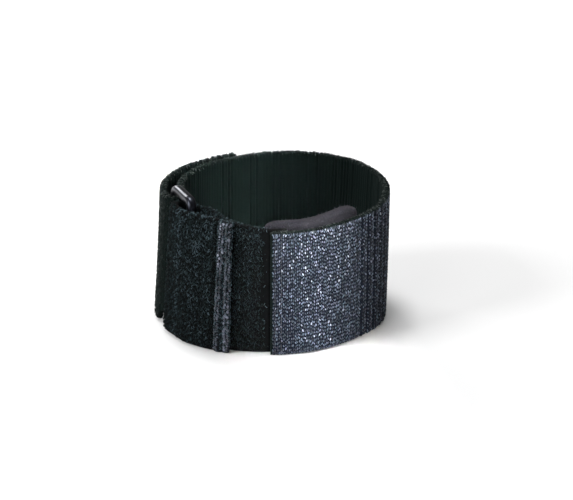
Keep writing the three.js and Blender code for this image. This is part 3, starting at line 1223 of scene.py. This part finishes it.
@dataclass
class ElasticStrap:
    """The elastic strap: from the lap seam round the loop and through the ring, its tail folded back."""

    shop: Workshop
    ring: RingShape
    thickness: float = 4.0
    edge: float = 1.4
    start_angle: float = 268.5
    tail_angle: float = 470.0
    bare_angle: float = 474.0
    rib_pitch: float = 2.1
    rib_depth: float = 0.5
    rib_steps: int = 6
    most_ribs: int = 400
    shallow_valley: float = 0.5
    deep_valley: float = 1.4
    deep_share: float = 0.35
    deep_angle: float = 314.0
    ripple_angles: tuple[float, float] = (316.0, 356.0)
    ripple_ease: float = 4.0
    ripple_pitch: float = 5.7
    ripple_height: float = 0.45
    scallop_pitch: float = 4.2
    scallop_height: float = 0.45
    scallop_ease: float = 20.0
    levels: int = 10
    yarn_pitch: float = 1.15
    first_column: float = 1.3
    yarn_shares: tuple[float, float] = (0.017, 0.985)
    bare_valley: float = 0.22
    row_pitch: float = 2.2
    row_slip: float = 0.4
    streak: float = 0.09
    # Painted light: the heather yarn is lighter towards the upper edge and darker towards the lower edge.
    fade: float = 0.2
    # Painted glints: the yarn on every few rows is lighter, and the rest a little darker.
    glint: float = 0.2
    glint_rows: int = 4
    glint_shift: float = 1.62
    yarn_jitter: float = 0.3
    yarn: GrainSize = GrainSize(
        length=1.6, width=0.72, height=0.55, tilt=0.6, spread=0.3, seed=3
    )
    # Painted light and shade along the strap: the heather yarn is lighter across the front and darker
    # towards the sides, where the light falls off.
    tones: Curve = (
        (268.5, -0.2), (280.0, -0.1), (286.0, 0.04), (297.0, 0.04), (305.0, -0.1),
        (314.0, -0.18), (332.0, -0.2), (346.0, -0.34), (474.0, -0.12),
    )
    stitch: GrainSize = GrainSize(
        length=2.4, width=0.55, height=0.5, tilt=0.0, spread=0.1, seed=5
    )
    stitch_pitch: float = 3.0
    stitch_lift: float = 0.1
    stitch_shares: tuple[float, float] = (0.04, 0.96)
    seam_rows: tuple[float, float] = (2.5, 6.0)
    tail_row: float = 3.0
    fuzz: LoopSize = LoopSize(
        density=0.6, width=1.0, height=0.4, yarn=0.3, lean=0.6, spin=0.8, spread=0.35, seed=7
    )
    top_share: float = 0.985
    # Painted light: the fuzz is lighter on the strap's top edge and on the tail past this angle, where
    # light falls on it.
    worn_angle: float = 530.0
    worn_bias: float = 0.3

    def strip(self) -> Strip:
        """Lays out the strap.

        Returns:
            Its strip, with the ripples at its right and the scallops of its late upper edge.
        """
        ring = self.ring
        turn, angle = ring.turn(self.thickness), ring.rear_angle + TURN
        course = Course([
            Row(self.start_angle, 66.2, 66.0, 65.8),
            Row(284, 64.9, 64.9, 64.9),
            Row(300, 63.4, 63.4, 63.4),
            Row(318, 62.4, 62.8, 63.0),
            Row(338, 64.0, 64.6, 64.8),
            Row(360, 64.2, 65.2, 65.8),
            Row(385, 64.6, 66.2, 67.8),
            Row(410, 64.4, 66.8, 69.2),
            Row(435, 63.6, 65.4, 67.0),
            Row(455, 62.2, 62.8, 63.4),
            Row(472, 60.0, 60.0, 60.0),
            Row(496, 59.8, 59.4, 59.0),
            Row(520, 59.6, 58.4, 57.4, low=1),
            Row(536, 58.4, 56.2, 54.4, low=4, high=77),
            ring.row(angle, -turn),
        ])
        tail = Course([
            Row(self.tail_angle, 65.9, 65.9, 65.9),
            Row(484, 65.7, 65.5, 65.3),
            Row(500, 65.9, 65.8, 66.2),
            Row(520, 66.8, 66.0, 66.2),
            Row(538, 68.0, 66.0, 64.6, low=0.1, high=77),
            ring.row(angle, turn),
        ])
        stations = Stations.joined([
            course.run(self.start_angle, angle, self.thickness),
            ring.fold(ring.rear_angle, Side.RIGHT, self.thickness),
            tail.run(angle, self.tail_angle, self.thickness, leg=1.0),
        ])
        first, last = self.ripple_angles
        share = (stations.angle - first) / (last - first)
        eased = smoothstep(self.ripple_ease * share) * smoothstep(self.ripple_ease * (1 - share))
        window = np.where(stations.leg == 0, eased, 0.0)
        wave = np.sin(math.tau * (stations.angle - first) / self.ripple_pitch)
        stations.plan += polar(stations.angle, window * self.ripple_height * wave)[:, None]
        strip = Strip(stations)
        late = smoothstep((strip.along - strip.along_at(self.bare_angle)) / self.scallop_ease)
        stations.high += late * self.scallop_height * np.sin(math.tau * strip.along / self.scallop_pitch)
        return strip

    def build(self) -> list[bpy.types.Object]:
        """Builds the ribbed cloth, its heather yarn, its fuzz and its stitches.

        Returns:
            The pieces.
        """
        strip = self.strip()
        along = strip.steps(self.rib_pitch / self.rib_steps)
        section = Section.rounded(STRAP_WIDTH, self.thickness, self.edge, self.levels)
        mesh = self.shop.strip_mesh("strap_cloth", strip, section, along, self.edge)
        lengths, share, side = section.swept(along)
        leg = strip.read(lengths, strip.stations.leg)
        topped = share > self.top_share
        covered = np.where((leg > 0) & (side < 0) | topped, 1.0, 0.0)
        # Painted light on the strap's top edge and on the tail's fold.
        lit_edges = topped | (strip.read(lengths, strip.stations.angle) > self.worn_angle)
        loops = self.shop.pile(mesh, covered, self.fuzz, LINING_YARN, np.where(lit_edges, self.worn_bias, 0.0))
        self.shop.write(mesh, "along", lengths * MM)
        self.shop.write(mesh, "rib", self.valleys(strip, lengths))
        self.shop.write(mesh, "faced", np.where((leg == 0) & (lengths > self.edge), side, 0.0))
        ribbed = self.shop.ribbed(mesh, self.rib_pitch, self.rib_depth, HEATHER, LINING)
        cloth = self.shop.piece("strap_cloth", ribbed, Slot.ELASTIC, "elastic_strap")
        yarn = self.shop.piece("strap_yarn", self.heather(strip), Slot.ELASTIC)
        fuzz = self.shop.piece("strap_fuzz", loops, Slot.ELASTIC)
        stitches = self.shop.piece("strap_stitches", self.stitches(strip), Slot.ELASTIC)
        return [cloth, yarn, fuzz, stitches]

    def valleys(self, strip: Strip, along: Array) -> Array:
        """Says how deep the valley between two ribs is: past the front some are much deeper.

        Args:
            strip: The strap's strip.
            along: Lengths along it.

        Returns:
            The depth at each length.
        """
        draw = np.random.default_rng(self.yarn.seed)
        past = np.arange(self.most_ribs) * self.rib_pitch > strip.along_at(self.deep_angle)
        deep = past & (draw.random(self.most_ribs) < self.deep_share)
        return np.where(deep, self.deep_valley, self.shallow_valley)[(along / self.rib_pitch).astype(int)]

    def heather(self, strip: Strip) -> bpy.types.Mesh:
        """Lays heather yarn in level rows where the strap's face shows, and none in the deep valleys.

        Args:
            strip: The strap's strip.

        Returns:
            The yarn as one mesh.
        """
        columns = np.arange(self.first_column, strip.along_at(self.bare_angle) / self.yarn_pitch)
        rows = np.arange(round(STRAP_WIDTH / self.row_pitch))
        column, row = (grid.ravel() for grid in np.meshgrid(columns, rows, indexing="ij"))
        draw = np.random.default_rng(self.yarn.seed)
        jitter = draw.uniform(-self.yarn_jitter, self.yarn_jitter, (2, len(row)))
        along = column * self.yarn_pitch + jitter[0]
        slips, streaks = np.repeat(
            draw.normal(0.0, 1.0, (2, len(columns))) * [[self.row_slip], [self.streak]], len(rows), axis=1
        )
        height = (row + 0.5) * self.row_pitch + slips + jitter[1]
        phase = along / self.rib_pitch % 1.0
        kept = (self.valleys(strip, along) < self.deep_valley) | (np.abs(phase - 0.5) > self.bare_valley)
        along = along[kept]
        share = np.clip(height[kept] / STRAP_WIDTH, *self.yarn_shares)
        lit = (row + np.floor(column * self.glint_shift)) % self.glint_rows == 0.0
        # Painted light and shade by angle: lighter across the front, darker towards the sides.
        bias = np.interp(strip.read(along, strip.stations.angle), *np.array(self.tones).T) + streaks[kept]
        # Painted light from above: lighter towards the upper edge, darker towards the lower.
        bias += self.fade * (2.0 * share - 1.0)
        # Painted glints on every few rows.
        bias += np.where(lit, self.glint, -self.glint / (self.glint_rows - 1))[kept]
        spots = strip.at(along, share)
        points = spots.face(Side.RIGHT.value)
        return self.shop.grains(
            "strap_yarn", points, spots.normal, spots.rise, self.yarn, HEATHER_YARN, bias
        )

    def stitches(self, strip: Strip) -> bpy.types.Mesh:
        """Sews the strap's end to the tab with two rows, and closes its tail with one row.

        Args:
            strip: The strap's strip.

        Returns:
            The stitches as one mesh.
        """
        rows = [(along, Side.RIGHT) for along in self.seam_rows]
        rows.append((strip.length - self.tail_row, Side.LEFT))
        shares = np.linspace(*self.stitch_shares, round(STRAP_WIDTH / self.stitch_pitch))
        places = [(along, share, side.value) for along, side in rows for share in shares]
        along, share, side = np.array(places).T
        spots = strip.at(along, share)
        points = spots.face(side, self.stitch_lift)
        return self.shop.grains(
            "strap_stitches", points, spots.normal * side[:, None], spots.rise, self.stitch, THREAD
        )


@dataclass
class RingTab:
    """The plush tab: from under the strap's end, round the ring's front bar and back to the seam."""

    shop: Workshop
    ring: RingShape
    thickness: float = 4.5
    edge: float = 1.6
    lap_angle: float = 277.0
    fold_angle: float = 207.0
    seam_angle: float = 240.5
    binding_end: float = 248.5
    strap_start: float = 268.0
    # The pile thins towards the strap's edge from here, partly as pressed pile and partly as painted
    # shadow of that edge.
    pressed_angle: float = 261.5
    bare_angle: float = 266.0
    pressed: float = 0.95
    inner_pile: float = 0.3
    step: float = 0.8
    levels: int = 30
    pile: LoopSize = LoopSize(
        density=1.0, width=1.2, height=0.75, yarn=0.37, lean=0.5, spin=0.9, spread=0.35, seed=21
    )
    streak: float = 0.12
    # Painted light: the pile is lighter towards the upper edge and darker towards the lower edge.
    fade: float = 0.14
    # Painted light and shade: the tab's inner leg is darker and its outer leg lighter, by where the light
    # falls.
    lift: tuple[float, float] = (-0.1, 0.12)
    # Painted shade in the tab's fold round the ring's front bar.
    crease: float = 0.4
    crease_angle: float = 212.5
    seam_shade: float = 0.4
    seam_reach: float = 4.0
    margin: float = 0.85

    def course(self) -> Course:
        """Gives the course of the tab's inner leg, which the binding also sits on.

        Returns:
            The course.
        """
        turn = self.ring.turn(self.thickness)
        return Course([
            self.ring.row(self.fold_angle, -turn),
            self.ring.row(self.ring.front_angle, -turn),
            Row(224, 59.2, 55.4, 50.8, low=2, high=79),
            Row(234, 62.0, 58.4, 53.6, high=78.5),
            Row(243, 63.6, 60.4, 56.8, high=77.5),
            Row(251, 63.2, 61.2, 58.6, high=77),
            Row(259, 62.2, 61.4, 60.2, high=76.5),
            Row(268, 61.2, 61.2, 61.0),
            Row(self.lap_angle, 60.4, 60.4, 60.4),
        ])

    def strip(self) -> Strip:
        """Lays out the tab.

        Returns:
            Its strip.
        """
        turn = self.ring.turn(self.thickness)
        end = Course([
            self.ring.row(self.fold_angle, turn),
            self.ring.row(self.ring.front_angle, turn),
            Row(223, 69.6, 66.2, 62.6, high=78.5),
            Row(232, 69.0, 65.4, 61.4, high=79),
            Row(self.seam_angle, 68.4, 65.4, 61.9, high=79),
        ])
        return Strip(Stations.joined([
            self.course().run(self.lap_angle, self.fold_angle, self.thickness),
            self.ring.fold(self.fold_angle, Side.LEFT, self.thickness),
            end.run(self.fold_angle, self.seam_angle, self.thickness, leg=1.0),
        ]))

    def pile_weight(self, strip: Strip, section: Section, along: Array) -> Array:
        """Says how dense the pile stands: bare where another layer of the support covers the tab.

        Args:
            strip: The tab's strip.
            section: The outline across it.
            along: Lengths at which the outline stands.

        Returns:
            The density at each point of the tab's mesh, from 0 to 1.
        """
        lengths, share, side = section.swept(along)
        angle = strip.read(lengths, strip.stations.angle)
        leg = strip.read(lengths, strip.stations.leg)
        # Thinner pile near the strap's edge: partly pressed pile, partly painted shadow of that edge.
        near = smoothstep((angle - self.pressed_angle) / (self.bare_angle - self.pressed_angle))
        open_face = (angle > self.binding_end) | (share > self.margin)
        shown = (leg == 0) & open_face & (angle < self.strap_start)
        front = np.where(shown, 1.0 - self.pressed * near, 0.0)
        inside = (leg < 0.5) & (angle < self.strap_start)
        return np.where(side < 0, front, np.where(inside, self.inner_pile, leg > 0)).astype(float)

    def pile_bias(self, strip: Strip, section: Section, along: Array) -> Array:
        """Says how light the pile is: streaked, with painted light and shade by leg, height, fold and
        seam.

        Args:
            strip: The tab's strip.
            section: The outline across it.
            along: Lengths at which the outline stands.

        Returns:
            The shift of tone at each point of the tab's mesh.
        """
        draw = np.random.default_rng(self.pile.seed)
        # Painted light and shade: darker on the inner leg, lighter on the outer leg.
        lift = np.interp(strip.read(along, strip.stations.leg), (0.0, 1.0), self.lift)
        streaks = draw.normal(0.0, self.streak, len(along)) + lift
        # Painted shade in the fold.
        before = self.crease_angle - strip.read(along, strip.stations.angle)
        streaks -= self.crease * smoothstep(before / (self.crease_angle - self.fold_angle))
        streaks -= self.seam_shade * smoothstep(1.0 - (strip.length - along) / self.seam_reach)
        # Painted light: lighter towards the upper edge, darker towards the lower.
        return np.add.outer(streaks, self.fade * (2.0 * section.share - 1.0)).ravel()

    def build(self) -> list[bpy.types.Object]:
        """Builds the tab's cloth and its loop pile.

        Returns:
            The pieces.
        """
        strip = self.strip()
        along = strip.steps(self.step)
        section = Section.rounded(STRAP_WIDTH, self.thickness, self.edge, self.levels)
        mesh = self.shop.strip_mesh("tab_cloth", strip, section, along, self.edge)
        mesh.materials.append(self.shop.material(PLUSH))
        weight = self.pile_weight(strip, section, along)
        loops = self.shop.pile(mesh, weight, self.pile, PLUSH_YARN, self.pile_bias(strip, section, along))
        cloth = self.shop.piece("tab_cloth", mesh, Slot.PLUSH, "ring_tab")
        pile = self.shop.piece("tab_pile", loops, Slot.PLUSH)
        return [cloth, pile]


@dataclass(frozen=True)
class SeamRow:
    """A row of stitches up the binding: its place across, its lean and its tone at each height."""

    place: float
    lean: float
    tones: Curve


@dataclass
class SeamBinding:
    """The raised binding that closes the tab's cut end, with two rows of thick stitches."""

    shop: Workshop
    tab: RingTab
    gap: float = 0.3
    low: float = 0.2
    high: float = 79.0
    edge: float = 1.0
    levels: int = 24
    steps: int = 24
    tape_width: float = 14.0
    sections: Curve = (
        (0.8, 4.8), (1.6, 5.9), (2.6, 5.7), (3.6, 4.9), (4.4, 4.5),
        (5.2, 4.8), (6.1, 5.2), (6.9, 4.6), (7.6, 2.8),
    )
    stitch_rows: tuple[SeamRow, ...] = (
        SeamRow(
            0.14, 0.14, ((0.0, -0.35), (0.2, -0.35), (0.35, -0.55), (0.55, -0.5), (0.7, -0.1), (1.0, 0.3))
        ),
        SeamRow(
            0.84, 0.0, ((0.0, -0.2), (0.3, -0.2), (0.42, -0.12), (0.5, -0.4), (0.75, -0.4), (1.0, -0.15))
        ),
    )
    stitch_pitch: float = 1.6
    stitch_width: float = 0.9
    stitch_jitter: float = 0.15
    stitch_slant: float = 0.5
    stitch_inset: float = 0.1
    stitch_shares: tuple[float, float] = (0.02, 0.985)
    fuzz: LoopSize = LoopSize(
        density=1.0, width=1.1, height=0.45, yarn=0.3, lean=0.5, spin=0.8, spread=0.3, seed=33
    )
    fuzz_bias: float = 0.35
    stitch: GrainSize = GrainSize(
        length=1.9, width=1.45, height=0.7, tilt=0.9, spread=0.4, seed=31
    )

    def strip(self) -> Strip:
        """Lays the binding on the tab's outer face.

        Returns:
            Its strip, whose thickness follows the two ridges.
        """
        offsets, heights = np.array(self.sections).T
        angles = self.tab.seam_angle + offsets
        course = self.tab.course()
        lower, waist, upper = read_smoothly(course.knots, course.values, angles).T[:3]
        under = self.tab.thickness / 2 + self.gap
        rows = []
        for angle, height, *radii in zip(angles, heights, lower, waist, upper):
            middles = [radius + under + height / 2 for radius in radii]
            rows.append(Row(angle, *middles, self.low, self.high, height))
        return Strip(Course(rows).run(angles[0], angles[-1]))

    def build(self) -> list[bpy.types.Object]:
        """Builds the binding, its fuzz and its stitches.

        Returns:
            The pieces.
        """
        strip = self.strip()
        thickest = max(height for _, height in self.sections)
        along = np.linspace(0.0, strip.length, self.steps)
        section = Section.rounded(self.high, thickest, self.edge, self.levels)
        mesh = self.shop.strip_mesh("binding_cloth", strip, section, along, self.edge)
        mesh.materials.append(self.shop.material(BINDING))
        weight = (section.swept(along)[2] > 0).astype(float)
        loops = self.shop.pile(mesh, weight, self.fuzz, PLUSH_YARN, self.fuzz_bias)
        cloth = self.shop.piece("binding_cloth", mesh, Slot.BINDING, "seam_binding")
        fuzz = self.shop.piece("binding_fuzz", loops, Slot.BINDING)
        stitches = self.shop.piece("binding_stitches", self.stitches(strip), Slot.BINDING)
        return [cloth, fuzz, stitches]

    def stitches(self, strip: Strip) -> bpy.types.Mesh:
        """Lays each row of stitches as a chain of slanting pairs along a ridge.

        Args:
            strip: The binding's strip.

        Returns:
            The stitches as one mesh.
        """
        count = round(self.high / self.stitch_pitch)
        step, column = (grid.ravel() for grid in np.meshgrid(np.arange(count), (-0.5, 0.5), indexing="ij"))
        share = np.clip((step + 0.5 + column / 2) / count, *self.stitch_shares)
        places = np.concatenate([row.place + row.lean * share for row in self.stitch_rows])
        bias = np.concatenate([np.interp(share, *np.array(row.tones).T) for row in self.stitch_rows])
        share, column = (np.tile(values, len(self.stitch_rows)) for values in (share, column))
        draw = np.random.default_rng(self.stitch.seed)
        across = places * strip.length + column * self.stitch_width
        across += draw.normal(0.0, self.stitch_jitter, len(across))
        spots = strip.at(np.clip(across, self.stitch_inset, strip.length - self.stitch_inset), share)
        heading = unit(spots.rise - spots.heading * np.sign(column)[:, None] * self.stitch_slant)
        points = spots.face(Side.RIGHT.value)
        return self.shop.grains(
            "binding_stitches", points, spots.normal, heading, self.stitch, BINDING_YARN, bias
        )


@dataclass
class FeltPad:
    """The felt pad inside the front of the strap."""

    shop: Workshop
    low: float = 2.0
    edge: float = 2.2
    step: float = 0.8
    levels: int = 40
    fibre_count: int = 3500
    fibre_inset: float = 0.5
    fibre: GrainSize = GrainSize(
        length=2.6, width=0.12, height=0.1, tilt=math.pi, spread=0.5, seed=41
    )
    sections: tuple[tuple[float, float, float, float], ...] = (
        (263.5, 54.8, 3.0, 73.0),
        (265.5, 54.6, 5.6, 76.0),
        (269.0, 54.6, 7.2, 77.4),
        (278.0, 54.0, 7.6, 78.0),
        (285.0, 57.0, 8.0, 79.0),
        (292.0, 57.6, 8.0, 79.6),
        (302.0, 56.8, 8.0, 80.2),
        (314.0, 56.2, 8.0, 80.8),
        (320.0, 56.2, 7.6, 80.4),
        (324.0, 56.3, 6.2, 78.6),
        (326.5, 56.4, 3.2, 74.0),
    )

    def build(self) -> list[bpy.types.Object]:
        """Builds the pad and the loose fibres on its surface.

        Returns:
            The pieces.
        """
        rows = [
            Row(angle, radius, radius, radius, self.low, high, thickness)
            for angle, radius, thickness, high in self.sections
        ]
        strip = Strip(Course(rows).run(rows[0].angle, rows[-1].angle))
        thickest = max(row.thickness for row in rows)
        along = strip.steps(self.step)
        section = Section.rounded(STRAP_WIDTH, thickest, self.edge, self.levels)
        mesh = self.shop.strip_mesh("pad_felt", strip, section, along, self.edge)
        mesh.materials.append(self.shop.material(FELT))
        pad = self.shop.piece("pad_felt", mesh, Slot.FELT, "felt_pad")
        fibres = self.shop.piece("pad_fibres", self.fibres(strip, section), Slot.FELT)
        return [pad, fibres]

    def fibres(self, strip: Strip, section: Section) -> bpy.types.Mesh:
        """Scatters short fibres over the pad's faces and edges.

        Args:
            strip: The pad's strip.
            section: The outline across it.

        Returns:
            The fibres as one mesh.
        """
        draw = np.random.default_rng(self.fibre.seed)
        along = draw.uniform(self.fibre_inset, strip.length - self.fibre_inset, self.fibre_count)
        around = draw.uniform(0.0, len(section.share), self.fibre_count)
        places = np.arange(len(section.share) + 1)
        share = np.interp(around, places, np.append(section.share, section.share[0]))
        side = np.interp(around, places, np.append(section.side, section.side[0]))
        spots = strip.at(along, share)
        facing = spots.normal * np.sign(side)[:, None]
        return self.shop.grains("pad_fibres", spots.face(side), facing, spots.rise, self.fibre, FELT_FIBRE)


@dataclass
class HookTab:
    """The patch of hook tape that fastens the strap's tail."""

    shop: Workshop
    strap: ElasticStrap
    start_angle: float = 472.0
    end_angle: float = 496.0
    thickness: float = 1.1
    gap: float = 0.3
    inset: float = 3.0
    edge: float = 0.3
    step: float = 0.8
    levels: int = 20
    hooks: LoopSize = LoopSize(
        density=0.7, width=0.45, height=0.3, yarn=0.16, lean=0.15, spin=0.4, spread=0.1, seed=51
    )

    def strip(self) -> Strip:
        """Lays the tape on the strap's outer face, under the tail.

        Returns:
            Its strip.
        """
        under = self.strap.strip().stations
        outside = (self.strap.thickness + self.thickness) / 2 + self.gap
        covered = (under.leg == 0) & (under.angle >= self.start_angle) & (under.angle <= self.end_angle)
        angle = under.angle[covered]
        count = len(angle)
        return Strip(Stations(
            angle,
            under.plan[covered] + polar(angle, outside)[:, None],
            np.full(count, self.inset),
            np.full(count, STRAP_WIDTH - self.inset),
            np.full(count, self.thickness),
            np.zeros(count),
        ))

    def build(self) -> list[bpy.types.Object]:
        """Builds the tape and its hooks.

        Returns:
            The pieces.
        """
        strip = self.strip()
        height = STRAP_WIDTH - 2 * self.inset
        along = strip.steps(self.step)
        section = Section.rounded(height, self.thickness, self.edge, self.levels)
        mesh = self.shop.strip_mesh("hook_tape", strip, section, along, self.edge)
        mesh.materials.append(self.shop.material(HOOK_TAPE))
        weight = (section.swept(along)[2] > 0).astype(float)
        loops = self.shop.pile(mesh, weight, self.hooks, HOOK_YARN)
        tape = self.shop.piece("hook_tape", mesh, Slot.HOOK, "hook_tab")
        hooks = self.shop.piece("tape_hooks", loops, Slot.HOOK)
        return [tape, hooks]


@dataclass
class MouldedRing:
    """The glossy ring: a bar with four soft faces, bent to a rounded rectangle."""

    shop: Workshop
    shape: RingShape
    bar_steps: int = 40
    corner_steps: int = 14
    straight_steps: int = 10
    squareness: float = 2.7

    def path(self) -> tuple[Array, Array]:
        """Finds the middle of the bar and its outward direction, in the ring's own plane.

        Returns:
            Points and directions, once round the ring.
        """
        shape = self.shape
        across = 2 * shape.radius * math.sin(shape.spread)
        half = np.array([across, shape.height - shape.bar]) / 2 - shape.corner
        quarter = np.linspace(0.0, TURN / 4, self.corner_steps)
        signs = np.array([(1, 1), (-1, 1), (-1, -1), (1, -1)])
        outward = [polar(quarter + TURN / 4 * i, 1.0) for i in range(len(signs))]
        corners = [sign * half + way * shape.corner for sign, way in zip(signs, outward)]
        share = np.linspace(0.0, 1.0, self.straight_steps, endpoint=False)[1:, None]
        points, ways = [], []
        for corner, following, way in zip(corners, corners[1:] + corners[:1], outward):
            points += [corner, corner[-1] * (1 - share) + following[0] * share]
            ways += [way, np.repeat(way[-1:], len(share), axis=0)]
        return np.concatenate(points), np.concatenate(ways)

    def build(self) -> list[bpy.types.Object]:
        """Sweeps the bar round the ring and stands it in its place.

        Returns:
            The one piece.
        """
        shape = self.shape
        points, outward = self.path()
        turned = np.linspace(0.0, math.tau, self.bar_steps, endpoint=False)
        out, off = (
            np.sign(wave) * np.abs(wave) ** (2 / self.squareness) * shape.bar / 2
            for wave in (np.cos(turned), np.sin(turned))
        )
        plane = points[:, None] + outward[:, None] * out[None, :, None]
        count, around = plane.shape[:2]
        local = np.concatenate([plane, np.broadcast_to(off[None, :, None], (count, around, 1))], axis=2)
        i, k = (grid.ravel() for grid in np.meshgrid(np.arange(count), np.arange(around), indexing="ij"))
        after, up = (i + 1) % count, (k + 1) % around
        corners = [i * around + k, after * around + k, after * around + up, i * around + up]
        faces = np.stack(corners, axis=1)
        mesh = bpy.data.meshes.new("ring_bar")
        mesh.from_pydata((local.reshape(-1, 3) * MM).tolist(), [], faces.tolist())
        stood = Matrix.Rotation(math.radians(shape.facing + 90), 4, "Z")
        stood @= Matrix.Rotation(math.radians(90 - shape.lean), 4, "X")
        mesh.transform(Matrix.Translation(self.shop.place.metres(shape.centre)) @ stood)
        mesh.shade_smooth()
        mesh.materials.append(self.shop.material(MOULDED))
        return [self.shop.piece("ring_bar", mesh, Slot.RING, "ring")]


@dataclass(frozen=True)
class Softbox:
    """A soft studio light, aimed at the object, with the angle that its grid lets through."""

    name: str
    azimuth: float
    elevation: float
    distance: float
    width: float
    height: float
    power: float
    spread: float = 180.0


@dataclass
class Studio:
    """The plain floor, the soft lights and the camera."""

    aim: tuple[float, float, float] = (0.0, 0.0, 0.03875)
    picture_width: int = 573
    aim_pixel: float = 272.0
    pixels_per_metre: float = 1700.0
    camera_elevation: float = 22.0
    camera_roll: float = 0.15
    camera_distance: float = 3.0
    sensor: float = 36.0
    floor_half: float = 6.0
    floor_colour: str = "e6e6e6"
    floor_roughness: float = 0.8
    floor_specular: float = 0.1
    daylight: float = 0.1
    lights: tuple[Softbox, ...] = (
        Softbox("key", 20.0, 30.0, 1.6, 0.02, 0.4, 0.22, spread=4.2),
        Softbox("front", -30.0, 40.0, 1.6, 0.6, 0.6, 3.0),
        Softbox("fill", -66.0, 28.0, 1.8, 0.8, 0.8, 32.0),
        Softbox("back", 212.0, 26.0, 1.5, 0.8, 0.5, 14.0),
        Softbox("top", 180.0, 78.0, 1.5, 0.6, 0.6, 18.0),
    )

    def build(self) -> None:
        """Builds the floor, the lights and the camera, and shows colours as they are."""
        bpy.context.scene.view_settings.view_transform = "Standard"
        self.floor()
        self.daylit()
        for light in self.lights:
            self.softbox(light)
        self.camera()

    @staticmethod
    def looking(azimuth: float, elevation: float, distance: float, aim: Vector) -> Matrix:
        """Gives the place of something that looks at a point.

        Args:
            azimuth: Degrees round the object, 0 in front and 90 to the right.
            elevation: Degrees above the horizon.
            distance: Distance from the point.
            aim: The point.

        Returns:
            The matrix of a camera or light there.
        """
        turn = Matrix.Rotation(math.radians(azimuth), 4, "Z")
        rise = Matrix.Rotation(math.radians(90 - elevation), 4, "X")
        return Matrix.Translation(aim) @ turn @ rise @ Matrix.Translation((0.0, 0.0, distance))

    def floor(self) -> None:
        """Lays the floor."""
        half = self.floor_half
        corners = [(-half, -half, 0.0), (half, -half, 0.0), (half, half, 0.0), (-half, half, 0.0)]
        mesh = bpy.data.meshes.new("floor")
        mesh.from_pydata(corners, [], [(0, 1, 2, 3)])
        paint, tree, shader = blank_material("pale_floor")
        tree.feed(shader, {
            "Base Color": linear(self.floor_colour),
            "Roughness": self.floor_roughness,
            "Specular IOR Level": self.floor_specular,
        })
        mesh.materials.append(paint)
        made = bpy.data.objects.new("floor", mesh)
        bpy.context.scene.collection.objects.link(made)

    def daylit(self) -> None:
        """Fills the room with an even white light."""
        world = bpy.data.worlds.new("daylight")
        world.use_nodes = True
        background = world.node_tree.nodes["Background"]
        white = {"Color": (1.0, 1.0, 1.0, 1.0), "Strength": self.daylight}
        Tree(world.node_tree).feed(background, white)
        bpy.context.scene.world = world

    def softbox(self, light: Softbox) -> None:
        """Hangs one soft light.

        Args:
            light: Its place, size and power.
        """
        data = bpy.data.lights.new(light.name, "AREA")
        data.shape = "RECTANGLE"
        data.size, data.size_y = light.width, light.height
        data.energy = light.power
        data.spread = math.radians(light.spread)
        made = bpy.data.objects.new(light.name, data)
        made.matrix_world = self.looking(light.azimuth, light.elevation, light.distance, Vector(self.aim))
        bpy.context.scene.collection.objects.link(made)

    def camera(self) -> None:
        """Stands the camera where the picture was taken from."""
        width = self.picture_width
        data = bpy.data.cameras.new("camera")
        data.sensor_width = self.sensor
        data.lens = data.sensor_width * self.camera_distance * self.pixels_per_metre / width
        aim = Vector(self.aim) + Vector(((width / 2 - self.aim_pixel) / self.pixels_per_metre, 0.0, 0.0))
        made = bpy.data.objects.new("camera", data)
        roll = Matrix.Rotation(math.radians(self.camera_roll), 4, "Z")
        made.matrix_world = self.looking(0.0, self.camera_elevation, self.camera_distance, aim) @ roll
        bpy.context.scene.collection.objects.link(made)
        bpy.context.scene.camera = made


def main() -> None:
    """Builds the support and the studio around it."""
    logging.basicConfig(level=logging.INFO, format="%(name)s: %(message)s")
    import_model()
    ring = RingShape()
    shop = Workshop(Placement.from_ring(ring))
    strap, tab = ElasticStrap(shop, ring), RingTab(shop, ring)
    assemblies = (
        strap, tab, SeamBinding(shop, tab), FeltPad(shop), HookTab(shop, strap), MouldedRing(shop, ring)
    )
    for assembly in assemblies:
        for piece in assembly.build():
            LOG.info("%s: %s, %d faces", type(assembly).__name__, piece.name, len(piece.data.polygons))
    Studio().build()


if __name__ == "__main__":
    main()
